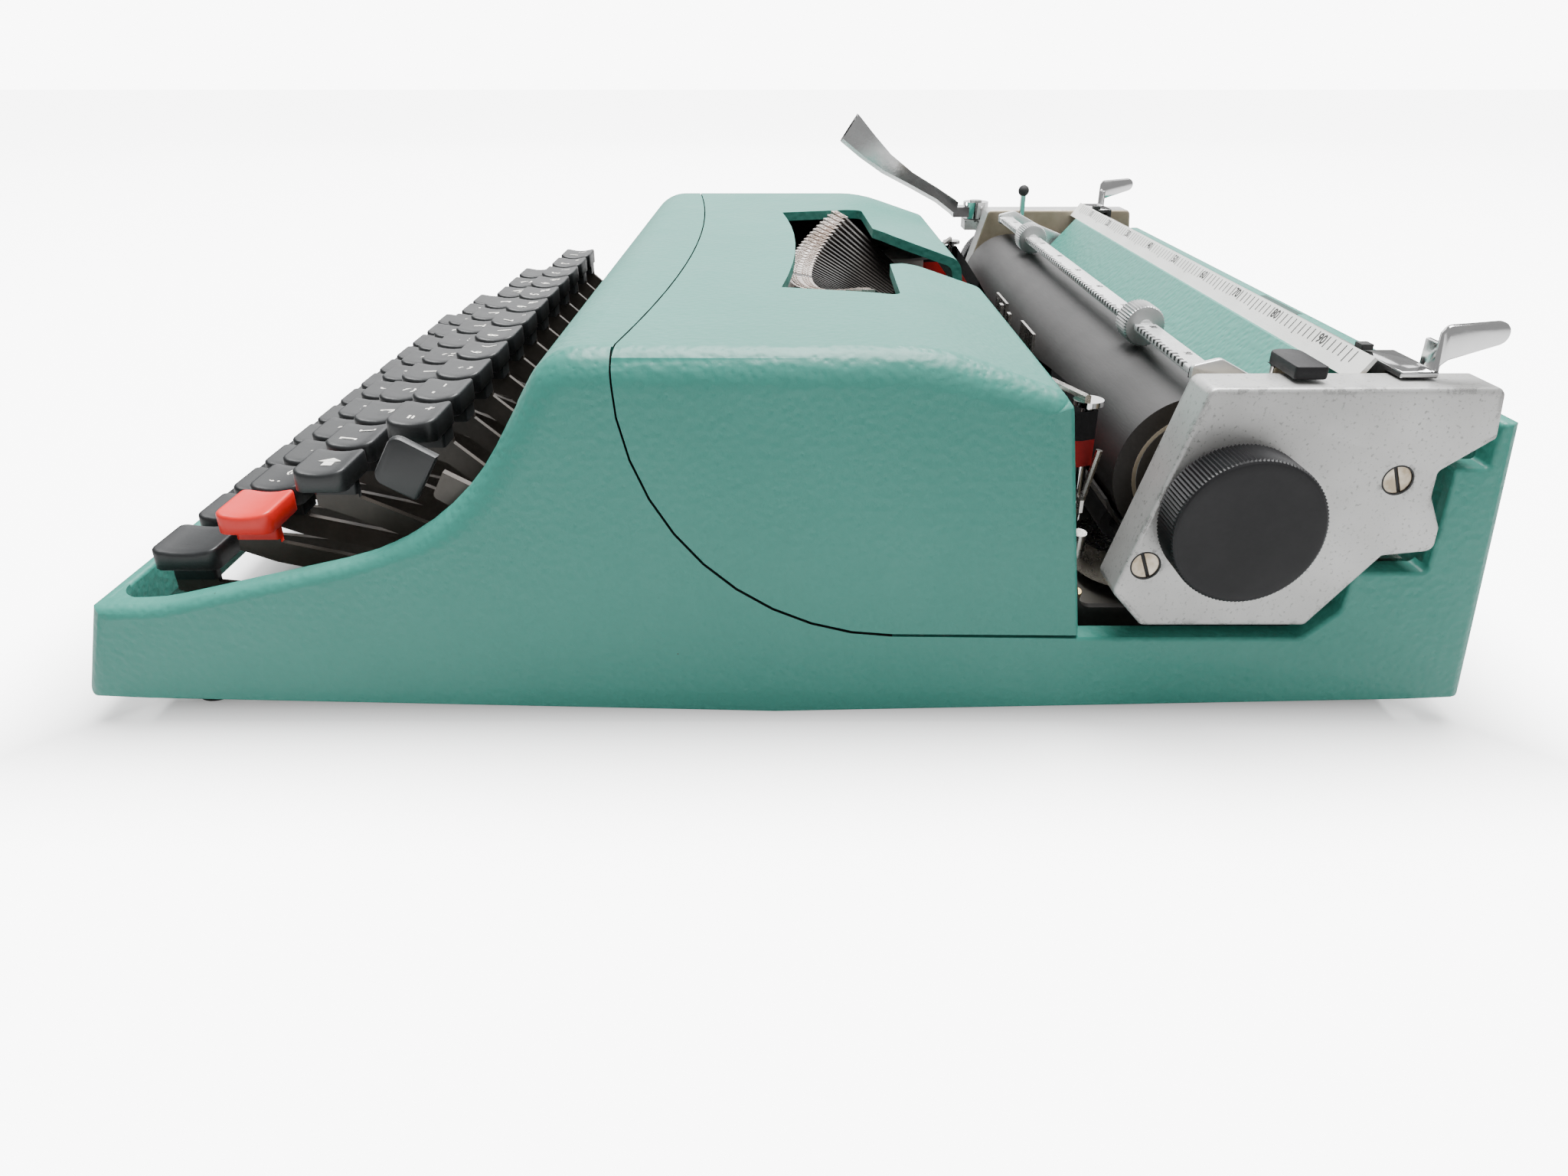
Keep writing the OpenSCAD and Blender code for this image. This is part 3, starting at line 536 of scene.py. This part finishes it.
def corner_fill(side):
    """Rounds the inner corner where the front bar meets the side rim."""
    bm = bmesh.new()
    r, x, y = 7, half_w - RIM_W, WELL_FRONT
    plan = [Vector((x + 1.5, y - 1)), Vector((x + 1.5, y + r)), Vector((x, y + r))]
    plan += [Vector((x - r, y + r)) + polar(r, -a) for a in range(10, 91, 10)]
    plan += [Vector((x - r, y - 1))]
    skin(bm, [[bm.verts.new((side * p.x, p.y, z)) for p in plan] for z in (23, FRONT[1][1] - 0.05)])
    return bm


def painted_shade_faces(p, n):
    """Faces painted dark as shade: the unseen inner side of the casing and the walls of its seam gaps."""
    y, z = SEAM_CENTRE
    wall_face = abs(n.x) > 0.9 and abs(p.x) > half_w - WALL - 0.2
    ceiling = n.z < -0.4 and p.z > 30
    shaded_lining = abs(p.x) < half_w - WALL + 0.1 and (wall_face or ceiling)
    on_arc = abs(math.hypot(p.y - y, p.z - z) - SEAM_R) < 0.8
    round_seam = on_arc and p.y < y + 0.5 and p.z < 86 and abs(n.x) < 0.5
    low_seam = abs(p.z - SEAM_FLOOR) < 0.7 and y < p.y < 67.5 and abs(n.z) > 0.7
    deck_seam = -34.5 < p.y < -23.5 and abs(n.y) > 0.8 and p.z > 83
    return shaded_lining or round_seam or low_seam or deck_seam


def casing():
    body = copy_of("body_shell")
    for side in (-1, 1):
        body = boolean(body, corner_fill(side), "UNION")
    body = boolean(body, plan_envelope(), "INTERSECT")
    body = boolean(body, side_envelope(), "INTERSECT")
    cover = boolean(copy_of("ribbon_cover"), side_envelope(), "INTERSECT")
    for name, owner, bm in (("body_shell", "frame", body), ("ribbon_cover", "cover", cover)):
        bm.normal_update()
        # Painted shade: the inner faces and the seam walls take the dark second material.
        tint(bm, painted_shade_faces)
        obj = make(name + "_skin", bm, owner, paint, dark_enamel_and_shade, smooth=28)
        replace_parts(obj, name)


def seam_shade_sheet():
    """Painted shade: a dark sheet just behind the seam, so that the gap reads as a black line."""
    bm = bmesh.new()
    centre = Vector((SEAM_CENTRE[0], deck_z - 3.4))
    quarter = range(0, 91, 6)
    outline = [centre - polar(SEAM_R + 2.5, a) for a in quarter]
    outline += [centre - polar(SEAM_R - 3.5, a) for a in reversed(quarter)]
    face = half_w - WALL - 0.1
    for side in (-1, 1):
        skin(bm, [[bm.verts.new((side * x, p.x, p.y)) for p in outline] for x in (face - 0.6, face)])
    # Painted shade: a black sheet stands for the dark inside of the seam gap.
    make("seam_painted_shade", bm, "cover", rubber_black_and_shade)


# ---- keys ----

CAP_W = 16.4
CAP_H = 5.5
STEM_H = 3.5
DISH = 1.15


def dish(v, d):
    """How far a cap's top lies below its front and back edges, at v from the middle of its depth d."""
    return DISH * (1 - min(1, (2 * v / d) ** 2))


def add_cap(bm, x, y, top, w, d):
    """A key cap: rounded skirt, eased shoulder and a top that dips between front and back."""
    rings = []
    for inset, drop, level in ((0.3, 0, False), (0.0, -0.3, False), (0.0, 1.0, True), (0.12, 0.48, True),
                               (0.4, 0.14, True), (0.9, 0.0, True)):
        ring = []
        for p in rounded_rect(w - 2 * inset, d - 2 * inset, 2.4 - min(inset, 0.9)):
            z = top - drop - dish(p.y, d) if level else top - CAP_H - drop
            ring.append(bm.verts.new((x + p.x, y + p.y, z)))
        rings.append(ring)
    for share in (0.72, 0.42):
        ring = [bm.verts.new((x + (v.co.x - x) * share, y + (v.co.y - y) * share,
                              top - dish((v.co.y - y) * share, d))) for v in rings[5]]
        rings.append(ring)
    skin(bm, rings)


def legend(bm, text, size, x, y, top, d, shift=(0, 0)):
    """A character that follows the hollow of the cap's top."""
    def place(u, v):
        u, v = u + shift[0], v + shift[1]
        return x + u, y + v, top - dish(v, d) + 0.07
    write(bm, text, size, place)


def stems(node, top):
    """What is left of a key node below its cap."""
    bm = copy_of(node)
    cut = bmesh.ops.bisect_plane(bm, geom=bm.verts[:] + bm.edges[:] + bm.faces[:], dist=0.001,
                                 plane_co=(0, 0, top - CAP_H - 0.02), plane_no=(0, 0, 1), clear_outer=True)
    bmesh.ops.holes_fill(bm, edges=[e for e in cut["geom_cut"] if isinstance(e, bmesh.types.BMEdge)])
    return bm


# Body and characters of each row, from right to left
ROWS = {
    "lower_row_caps": ("lower_keys", "/.,MNBVCXZ<"),
    "home_row_caps": ("home_keys", ";:LKJHGFDSA"),
    "upper_row_caps": ("upper_keys", "[POIU TREWQ"),
    "number_row_caps": ("number_keys", "=-0987654321")}
# Second character of a key
UPPER = {"=": "+", "-": "_", "9": ")", "8": "(", "7": "'", "6": "&", "5": "%", "4": "$", "3": "?",
         "2": '"', "1": "!", "/": ">", ";": "@", "[": "]"}


def key_rows():
    """The four rows of caps with their legends; the key in the middle of the third row is its own node."""
    for node, (body, letters) in ROWS.items():
        low, high = size_of(node)
        step = (high[0] - low[0] - CAP_W) / (len(letters) - 1)
        d, y, top = high[1] - low[1], (low[1] + high[1]) / 2, high[2]
        caps, marks = stems(node, top), bmesh.new()
        for k, letter in enumerate(letters):
            x = high[0] - CAP_W / 2 - step * k
            if letter != " ":
                add_cap(caps, x, y, top, CAP_W, d)
                mark_key(marks, letter, x, y, top, d)
        obj = make(node + "_skin", caps, body, key_black, smooth=40)
        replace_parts(obj, node)
        make(node + "_marks", marks, body, legend_white)


def mark_key(marks, letter, x, y, top, d):
    """One character in the middle, or two on a diagonal."""
    if letter in UPPER:
        legend(marks, UPPER[letter], 4.2, x, y, top, d, (-3.2, 1.2))
        legend(marks, letter, 4.2, x, y, top, d, (3.0, -1.2))
    else:
        legend(marks, letter, 5.2, x, y, top, d, (0, 0.2))


def arrow(marks, x, y, top, d):
    """A broad arrow on a key, pointing to the left."""
    head, shaft, tail = 2.6, 1.2, 2.4
    points = [(-head, 0), (0, head), (0, shaft), (tail, shaft), (tail, -shaft), (0, -shaft), (0, -head)]
    marks.faces.new([marks.verts.new((x + u, y + v, top - dish(v, d) + 0.1)) for u, v in points])


def function_keys():
    """Keys that carry cap, stem and lever in one node."""
    for node, body, cap, sign in (
            ("centre_key", "centre_key", key_black, "Y"), ("shift_keys", "shift_keys", key_black, ""),
            ("shift_lock_key", "shift_lock", key_black, ""), ("backspace_key", "backspace", key_black, "<"),
            ("tab_key", "tab", key_red, ""), ("margin_release_key", "margin_release", key_black, "")):
        low, high = size_of(node)
        top = high[2]
        caps, marks = stems(node, top), bmesh.new()
        tint(caps, lambda p, n: p.z < top - CAP_H - STEM_H + 0.1)
        solid = copy_of(node)
        crown = [v.co for v in solid.verts if v.co.z > top - 0.01]
        for side in ((-1, 1) if node == "shift_keys" else (1,)):
            own = [c for c in crown if node != "shift_keys" or c.x * side > 0]
            x0, x1 = min(c.x for c in own), max(c.x for c in own)
            y0, y1 = min(c.y for c in own), max(c.y for c in own)
            x, y = (x0 + x1) / 2, (y0 + y1) / 2
            add_cap(caps, x, y, top, x1 - x0, y1 - y0)
            if sign == "<":
                arrow(marks, x, y, top, y1 - y0)
            elif sign:
                legend(marks, sign, 4.4, x, y, top, y1 - y0)
        solid.free()
        obj = make(node + "_skin", caps, body, cap, lever_grey, smooth=40)
        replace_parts(obj, node)
        if marks.faces:
            make(node + "_mark", marks, body, legend_white)
        else:
            marks.free()


# ---- turned parts ----

platen_low, platen_high = size_of("platen")
# The platen's axis (Y, Z) and half its length
AXIS = ((platen_low[1] + platen_high[1]) / 2, (platen_low[2] + platen_high[2]) / 2)
PLATEN_X = platen_high[0]


def knobs():
    """Black knobs with a fine knurl round the rim and a smooth, slightly sunk face."""
    low, high = size_of("right_knob")
    x0, x1, r = low[0], high[0], (high[2] - low[2]) / 2
    for side, node in ((1, "right_knob"), (-1, "left_knob")):
        bm = bmesh.new()
        hub, inner = 8, x1 - 10.5
        stations = [(x0, hub, 0), (inner, hub, 0), (inner, r - 1.1, 0), (inner + 0.4, r - 0.5, 0),
                    (inner + 0.9, r, 1), (x1 - 0.8, r, 1), (x1 - 0.4, r - 0.4, 0), (x1 - 0.1, r - 0.8, 0),
                    (x1, r - 1.3, 0), (x1 - 0.1, r - 2.6, 0)]
        lathe(bm, AXIS, [(side * x, rr, k) for x, rr, k in stations], 240, 0.34)
        obj = make(node + "_skin", bm, "platen_roller", knob_black, smooth=24)
        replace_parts(obj, node)


def platen_ends():
    """Metal rings let into the ends of the rubber."""
    bm = bmesh.new()
    for side in (-1, 1):
        for i, (r, depth) in enumerate(((13.8, 0.15), (12.9, 0.5))):
            lathe(bm, AXIS, [(side * (PLATEN_X - 1), r, 0), (side * (PLATEN_X + depth), r, 0),
                             (side * (PLATEN_X + depth + 0.1), r - 0.4, 0)], 64, 0, i)
    make("platen_end_rings", bm, "platen_roller", chrome, dark_enamel_and_shade)


def bail_wheels():
    """The two knurled rollers on the paper bail."""
    low, high = size_of("bail_rollers")
    centre = ((low[1] + high[1]) / 2, (low[2] + high[2]) / 2)
    r, length = (high[2] - low[2]) / 2, 9
    bm = bmesh.new()
    for x in (low[0], high[0] - length):
        end = x + length
        lathe(bm, centre, [(x, r - 1.5, 0), (x + 0.3, r - 0.4, 0), (x + 0.8, r, 1), (end - 0.8, r, 1),
                           (end - 0.3, r - 0.4, 0), (end, r - 1.5, 0)], 84, 0.34)
    obj = make("bail_rollers_skin", bm, "bail_rollers", satin_grey, smooth=30)
    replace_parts(obj, "bail_rollers")


# ---- carriage fittings ----

# Width of a letter space
PITCH = 2.54
# Sloping face of the paper scale, as two points (Y, Z)
STRIP = ((120.6, 78.6), (124.2, 83.6))


def on_strip(x, up, lift=0.05):
    """A point on the face of the paper scale, a distance up its slope."""
    run, rise = STRIP[1][0] - STRIP[0][0], STRIP[1][1] - STRIP[0][1]
    length = math.hypot(run, rise)
    y = STRIP[0][0] + run * up / length - rise / length * lift
    return x, y, STRIP[0][1] + rise * up / length + run / length * lift


def scale_marks():
    """Pitch marks along the upper half of the paper scale, with a number in place of every tenth."""
    bm = bmesh.new()
    for i in range(-46, 47):
        x, near = i * PITCH, abs((i + 5) % 10 - 5)
        if near > 0:
            foot, head, half = 2.3 if near == 5 else 2.9, 5.7, 0.17
            corners = ((-half, foot), (half, foot), (half, head), (-half, head))
            bm.faces.new([bm.verts.new(on_strip(x + u, v)) for u, v in corners])
        else:
            write(bm, str(50 + i), 3.4, lambda u, v: on_strip(x + u, v + 4.3))
    make("scale_marks", bm, "carriage", scale_ink)


def bail_marks():
    """The notched front edge of the paper bail, with numbers stamped behind it."""
    bm = bmesh.new()
    top, front, number_y, roller_x = 78.9, 89.8, 93.5, 68
    for i in range(-43, 44):
        x, deep = i * PITCH, 1.5 if i % 5 == 0 else 1.0
        if abs(abs(x) - roller_x) > 6:
            box(bm, (x - 0.55, front - 0.02, top - 1.0), (x + 0.55, front + deep, top + 0.03))
            if i % 10 == 0:
                write(bm, str(50 + i), 2.4, lambda u, v: (x + u, number_y + v, top + 0.05))
    make("bail_marks", bm, "bail", scale_ink)


# Places (Y, Z) of the screws in the end plates, and of the plates' smaller bores
SCREWS = ((79.4, 41.7), (128.4, 61.2))
PIN_BORES = ((114, 68), (107, 66), (100, 68))


def end_plates():
    """Cast plates with eased rims; the bores and screw seats keep their edge."""
    for side, node in ((1, "right_end_plate"), (-1, "left_end_plate")):
        def rim(p, e):
            flat = abs(e.verts[0].co.x - e.verts[1].co.x) < 0.01 and 123 < abs(p.x) < 136
            clear = math.hypot(p.y - AXIS[0], p.z - AXIS[1]) > 6
            seats = all(math.hypot(p.y - y, p.z - z) > 3.6 for y, z in SCREWS)
            pins = all(math.hypot(p.y - y, p.z - z) > 2.6 for y, z in PIN_BORES)
            lug = side < 0 and p.x < -134 and 70 < p.z < 76 and 78 < p.y < 90
            return flat and clear and seats and pins and not lug
        eased(node, "carriage", 0.9, plate_metal, tan_metal, pick=rim, segments=3,
              second=lambda p, n: abs(p.x) < 124.2 and abs(n.x) > 0.7)


def screw_shadows():
    """Dark seats round the end plate screws, and the bottoms of their slots."""
    bm = bmesh.new()
    half, wide, turn = 2.8, 0.38, polar(1, 110)
    for side in (-1, 1):
        x = side * (size_of("right_end_plate")[1][0] + 0.03)
        for place in SCREWS:
            centre = Vector(place)
            rings = [[bm.verts.new((x, *(centre + polar(r, 9 * k)))) for k in range(40)] for r in (2.95, 3.3)]
            bridge(bm, *rings)
            ends = [centre + Vector((turn.x * u - turn.y * v, turn.y * u + turn.x * v))
                    for u, v in ((-half, -wide), (half, -wide), (half, wide), (-half, wide))]
            bm.faces.new([bm.verts.new((x - side * 0.7, *p)) for p in ends])
    make("screw_shadows", bm, "carriage", rubber_black_and_shade)


def stop_pointers():
    """Black pointers that mark the margin on the paper scale."""
    for side, body in ((1, "right_stop"), (-1, "left_stop")):
        bm = bmesh.new()
        box(bm, (min(side * 110, side * 113), 126.4, 82.5), (max(side * 110, side * 113), 129, 83.7))
        make(body + "_pointer", bm, body, rubber_black_and_shade)


def return_lever():
    """A thin pressed scoop: chrome sides and lip with a hollow between them."""
    x, y = -141, 84
    hub_low, hub_high, hub_r = 75.4, 81.9, 5.3
    # Side view of the scoop, hub end first: points (Y, Z) below and above, and half its width
    under = [(75, 75.6), (66, 82), (54.5, 87.9), (43, 93.5), (33.6, 99.6), (25.6, 105.7)]
    over = [(76, 82), (68, 86.8), (57, 93.0), (47, 100.5), (39.5, 108.4), (32.6, 116.2)]
    wide = [4.2, 4.6, 5.0, 5.2, 5.2, 4.6]
    wall, floor, chamfer = 0.9, 1.0, 1.4
    bm = bmesh.new()
    sections = []
    for foot, head, w in zip(under, over, wide):
        foot, head = Vector(foot), Vector(head)
        depth = (head - foot).normalized()
        half = [(w, head), (w, foot + depth * 1.5), (w - chamfer, foot)]
        outer = [(-u, p) for u, p in half] + half[::-1]
        hollow = [(w - wall, head), (w - wall, foot + depth * 2.2), (w - 2, foot + depth * floor)]
        inner = hollow + [(-u, p) for u, p in hollow[::-1]]
        sections.append([bm.verts.new((x + u, p.x, p.y)) for u, p in outer + inner])
    skin(bm, sections)
    long_edges = [e for e in bm.edges if abs(e.verts[0].co.y - e.verts[1].co.y) > 5]
    bmesh.ops.subdivide_edges(bm, edges=long_edges, cuts=1, smooth=0.4)
    bar(bm, (x, y, hub_low), (x, y, hub_high), hub_r, 40)
    box(bm, (x - 4.2, 74, 76), (x + 4.2, y, 80))
    obj = make("return_lever_skin", bm, "return_lever", chrome, smooth=40)
    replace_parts(obj, "return_lever")


def ribbon_band():
    """Two-colour ribbon, black over red, dipping from the guide posts to the type guide in the middle."""
    low, high = size_of("ribbon")
    tall, sag, flat_x, post_x, front_y = high[2] - low[2], 9.5, 9, 108, 73.6
    # Plan of the right half, from the spool round the post to the middle
    route = [(111.7, 43), (112.4, 69), (111, 72.2), (96, 72.6)] + [(x, front_y) for x in (60, 30, flat_x, 0)]
    route += [(-x, y) for x, y in reversed(route[:-1])]
    bm = bmesh.new()
    columns = []
    for x, y in route:
        drop = sag * max(0, min(1, (post_x - abs(x)) / (post_x - flat_x)))
        columns.append([bm.verts.new((x, y, low[2] - drop + tall * s)) for s in (0, 0.48, 1)])
    for a, b in zip(columns, columns[1:]):
        bm.faces.new((a[0], b[0], b[1], a[1])).material_index = 1
        bm.faces.new((a[1], b[1], b[2], a[2]))
    bmesh.ops.solidify(bm, geom=bm.faces[:], thickness=0.12)
    obj = make("ribbon_skin", bm, "frame", ribbon_ink, ribbon_red, smooth=50)
    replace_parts(obj, "ribbon")


def spool_details():
    """Three spokes on each spool, so that its turning shows."""
    for body, side in (("right_spool", 1), ("left_spool", -1)):
        bm = bmesh.new()
        low, high = size_of(body)
        centre, z = Vector((side * 94, 40, 0)), high[2]
        for k in range(3):
            before = set(bm.verts)
            box(bm, (7, -1.6, z - 1.3), (20, 1.6, z - 0.6))
            own = [v for v in bm.verts if v not in before]
            turn = Matrix.Translation(centre) @ Matrix.Rotation(math.radians(120 * k + 15), 4, "Z")
            bmesh.ops.transform(bm, matrix=turn, verts=own)
        make(body + "_spokes", bm, body, nickel)


def type_faces():
    """Two raised characters on each type slug, each of three strokes."""
    solid = copy_of("type_slugs")
    solid.normal_update()
    bm = bmesh.new()
    tops = [f for f in solid.faces if f.normal.z > 0.8 and f.calc_area() > 12]
    for n, f in enumerate(tops):
        mid, up = f.calc_center_median(), f.normal
        longest = max(f.edges, key=lambda e: e.calc_length())
        along = (longest.verts[1].co - longest.verts[0].co).normalized()
        across = up.cross(along)
        for shift in (-1.9, 1.9):
            for k in range(3):
                middle = mid + along * (shift + (k - 1) * 0.85)
                half = (0.75, 0.35, 0.8)[(k + n) % 3]
                rings = [[bm.verts.new(middle + along * u * thick + across * v * half + up * level)
                          for u, v in ((-1, -1), (1, -1), (1, 1), (-1, 1))]
                         for thick, level in ((0.25, -0.1), (0.2, 0.3))]
                bridge(bm, *rings)
                bm.faces.new(rings[1])
    solid.free()
    make("type_faces", bm, "frame", slug_metal)


def rim_slot_shade():
    """Painted shade of the finger slot in the rear rim: a thin dark box on top of the rim, seen behind the
    paper scale.
    """
    bm = bmesh.new()
    top = REAR[1][1]
    box(bm, (7, 147.9, top - 0.6), (33, 150.6, top + 0.04))
    # Painted shade: the slot's darkness is laid on the rim as a dark box.
    make("rim_slot_shade", bm, "frame", slot_shade)


def feed_gap_parts():
    """Small fixed parts seen between the cover and the carriage on each side."""
    bm = bmesh.new()
    for side in (-1, 1):
        bar(bm, (side * 115, 69.6, 47), (side * 115, 72.4, 60.5), 0.8, 8, 0)
        box(bm, (side * 115 - 1.6, 69.2, 46), (side * 115 + 1.6, 70, 49))
        bar(bm, (side * 117.4, 69.4, 36), (side * 118.6, 69.4, 42), 1.7, 16, 0)
        bar(bm, (side * 104, 68, 31), (side * 118, 68, 31), 1.4, 12, 1)
        bar(bm, (side * 97, 64.6, 71.2), (side * 111, 69.6, 71.2), 0.9, 6, 0)
        bar(bm, (side * 117.2, 70.6, 24), (side * 118.4, 70.6, 27), 1.2, 10, 2)
    make("gap_fittings", bm, "frame", nickel, dark_enamel_and_shade, brass)


# ---- the model ----

PAINTED = (
    (dark_enamel_and_shade, ("side_frames", "key_comb", "typebar_segment", "typebar_rest", "spool_cups",
                   "carriage_frame", "paper_pan")),
    (nickel, ("key_fulcrum_rod", "ribbon_vibrator", "card_guides", "carriage_rail", "margin_rail",
              "platen_shaft", "mainspring_drum", "bell")),
    (lever_grey, ("lower_row_levers", "home_row_levers", "upper_row_levers", "number_row_levers")),
    (rubber_black_and_shade, ("rubber_feet", "front_feed_rollers", "rear_feed_rollers")),
    (bar_steel, ("typebars", "centre_typebar")),
    (spool_grey, ("left_spool", "right_spool")),
    (base_grey, ("base_frame",)),
    (slug_metal, ("type_slugs",)),
    (chrome, ("ribbon_posts",)),
    (screw_metal, ("end_plate_screws",)),
    (paint, ("paper_table",)),
    (scale_metal, ("scale_strip",)),
    (platen_black, ("platen",)),
    (brass, ("escapement_wheel",)))
for material, painted in PAINTED:
    for node in painted:
        paint_node(node, material)

casing()
seam_shade_sheet()
key_rows()
function_keys()
knobs()
platen_ends()
bail_wheels()
scale_marks()
bail_marks()
end_plates()
screw_shadows()
stop_pointers()
return_lever()
ribbon_band()
spool_details()
type_faces()
rim_slot_shade()
feed_gap_parts()


def small_controls():
    """Levers and stops whose sharp edges are eased, all but the paper bail with its handle in another
    material.
    """
    bar_z, paddle_y, stop_z, release_z, ball_z = 26.4, -73.6, 81.2, 80.8, 86.3
    eased("space_bar", "space_bar", 0.7, key_black, lever_grey, pick=lambda p, e: p.z > bar_z,
          second=lambda p, n: p.z < bar_z)
    eased("colour_selector", "colour_selector", 0.9, key_black, lever_grey,
          pick=lambda p, e: p.y < paddle_y and p.z > 50, second=lambda p, n: p.y > paddle_y)
    eased("paper_bail", "bail", 0.35, bail_metal)
    for side in ("left", "right"):
        eased(side + "_margin_stop", side + "_stop", 0.3, chrome, rubber_black_and_shade,
              second=lambda p, n: p.z < stop_z)
    eased("paper_release_lever", "paper_release", 0.5, knob_black, nickel,
          second=lambda p, n: p.z < release_z)
    eased("line_space_lever", "line_spacer", 0.3, chrome, rubber_black_and_shade, pick=lambda p, e: p.z < 86,
          second=lambda p, n: p.z > ball_z)


small_controls()


# ---- stage ----

def seen_directly(tree, other, camera):
    """A level that is higher where the camera sees the surface than where it lights the model."""
    path = tree.nodes.new("ShaderNodeLightPath")
    level = tree.nodes.new("ShaderNodeMapRange")
    level.inputs["To Min"].default_value = other
    level.inputs["To Max"].default_value = camera
    tree.links.new(path.outputs["Is Camera Ray"], level.inputs["Value"])
    return level.outputs["Result"]


def outside_footprint(mat):
    """Glow of the backdrop sweep: none under the model, rising away from it."""
    tree = mat.node_tree
    coord = tree.nodes.new("ShaderNodeTexCoord")
    parts = tree.nodes.new("ShaderNodeSeparateXYZ")
    tree.links.new(coord.outputs["Object"], parts.inputs[0])
    reach = [maths(mat, "SUBTRACT", maths(mat, "ABSOLUTE", parts.outputs[axis]), half)
             for axis, half in (("X", 0.125), ("Y", 0.150))]
    glow = tree.nodes.new("ShaderNodeMapRange")
    glow.interpolation_type = "SMOOTHSTEP"
    glow.inputs["From Min"].default_value = -0.01
    glow.inputs["From Max"].default_value = 0.06
    tree.links.new(maths(mat, "MAXIMUM", *reach), glow.inputs["Value"])
    return maths(mat, "MULTIPLY", glow.outputs["Result"], seen_directly(tree, 0.12, 7.0))


def stage_floor():
    """A pale floor that runs out to a white sweep."""
    half, grey = 4.0, 0.6
    mesh = bpy.data.meshes.new("floor")
    mesh.from_pydata([(-half, -half, 0), (half, -half, 0), (half, half, 0), (-half, half, 0)], [],
                     [(0, 1, 2, 3)])
    floor = bpy.data.objects.new("floor", mesh)
    bpy.context.collection.objects.link(floor)
    mat, tree_nodes, links = new_material("floor_white")
    shader = tree_nodes["Principled BSDF"]
    shader.inputs["Base Color"].default_value = (grey, grey, grey, 1)
    shader.inputs["Roughness"].default_value = 0.8
    shader.inputs["Emission Color"].default_value = (1, 1, 1, 1)
    links.new(outside_footprint(mat), shader.inputs["Emission Strength"])
    mesh.materials.append(mat)


def area_light(name, place, target, size, power):
    """A soft white light at a place, turned to a target."""
    data = bpy.data.lights.new(name, "AREA")
    data.shape = "RECTANGLE"
    data.size, data.size_y = size
    data.energy = power
    obj = bpy.data.objects.new(name, data)
    obj.location = place
    obj.rotation_euler = (Vector(target) - Vector(place)).to_track_quat("-Z", "Y").to_euler()
    bpy.context.collection.objects.link(obj)


def studio_world():
    """Even white surround: brighter where it is seen directly than where it lights the model."""
    world = bpy.data.worlds.new("studio")
    bpy.context.scene.world = world
    world.use_nodes = True
    tree = world.node_tree
    back = tree.nodes["Background"]
    back.inputs["Color"].default_value = (1, 1, 1, 1)
    tree.links.new(seen_directly(tree, 0.42, 9.0), back.inputs["Strength"])


stage_floor()
studio_world()
area_light("top_light", (-0.3, 0.1, 1.3), (0, 0, 0.05), (1.0, 1.0), 70)
area_light("back_light", (-1.4, 0, 0.55), (0, 0, 0.05), (1.8, 0.7), 9)
area_light("side_light", (1.3, 0.4, 0.9), (0.05, 0, 0.05), (0.8, 0.8), 3.6)

camera_data = bpy.data.cameras.new("camera")
camera_data.lens = 24.61
camera_data.sensor_width = 36
camera_data.clip_start = 0.01
camera = bpy.data.objects.new("camera", camera_data)
camera.location = (0.3425, 0.002, 0.1409)
camera.rotation_euler = (math.radians(90 - 26.79), 0, math.radians(90))
bpy.context.collection.objects.link(camera)
bpy.context.scene.camera = camera
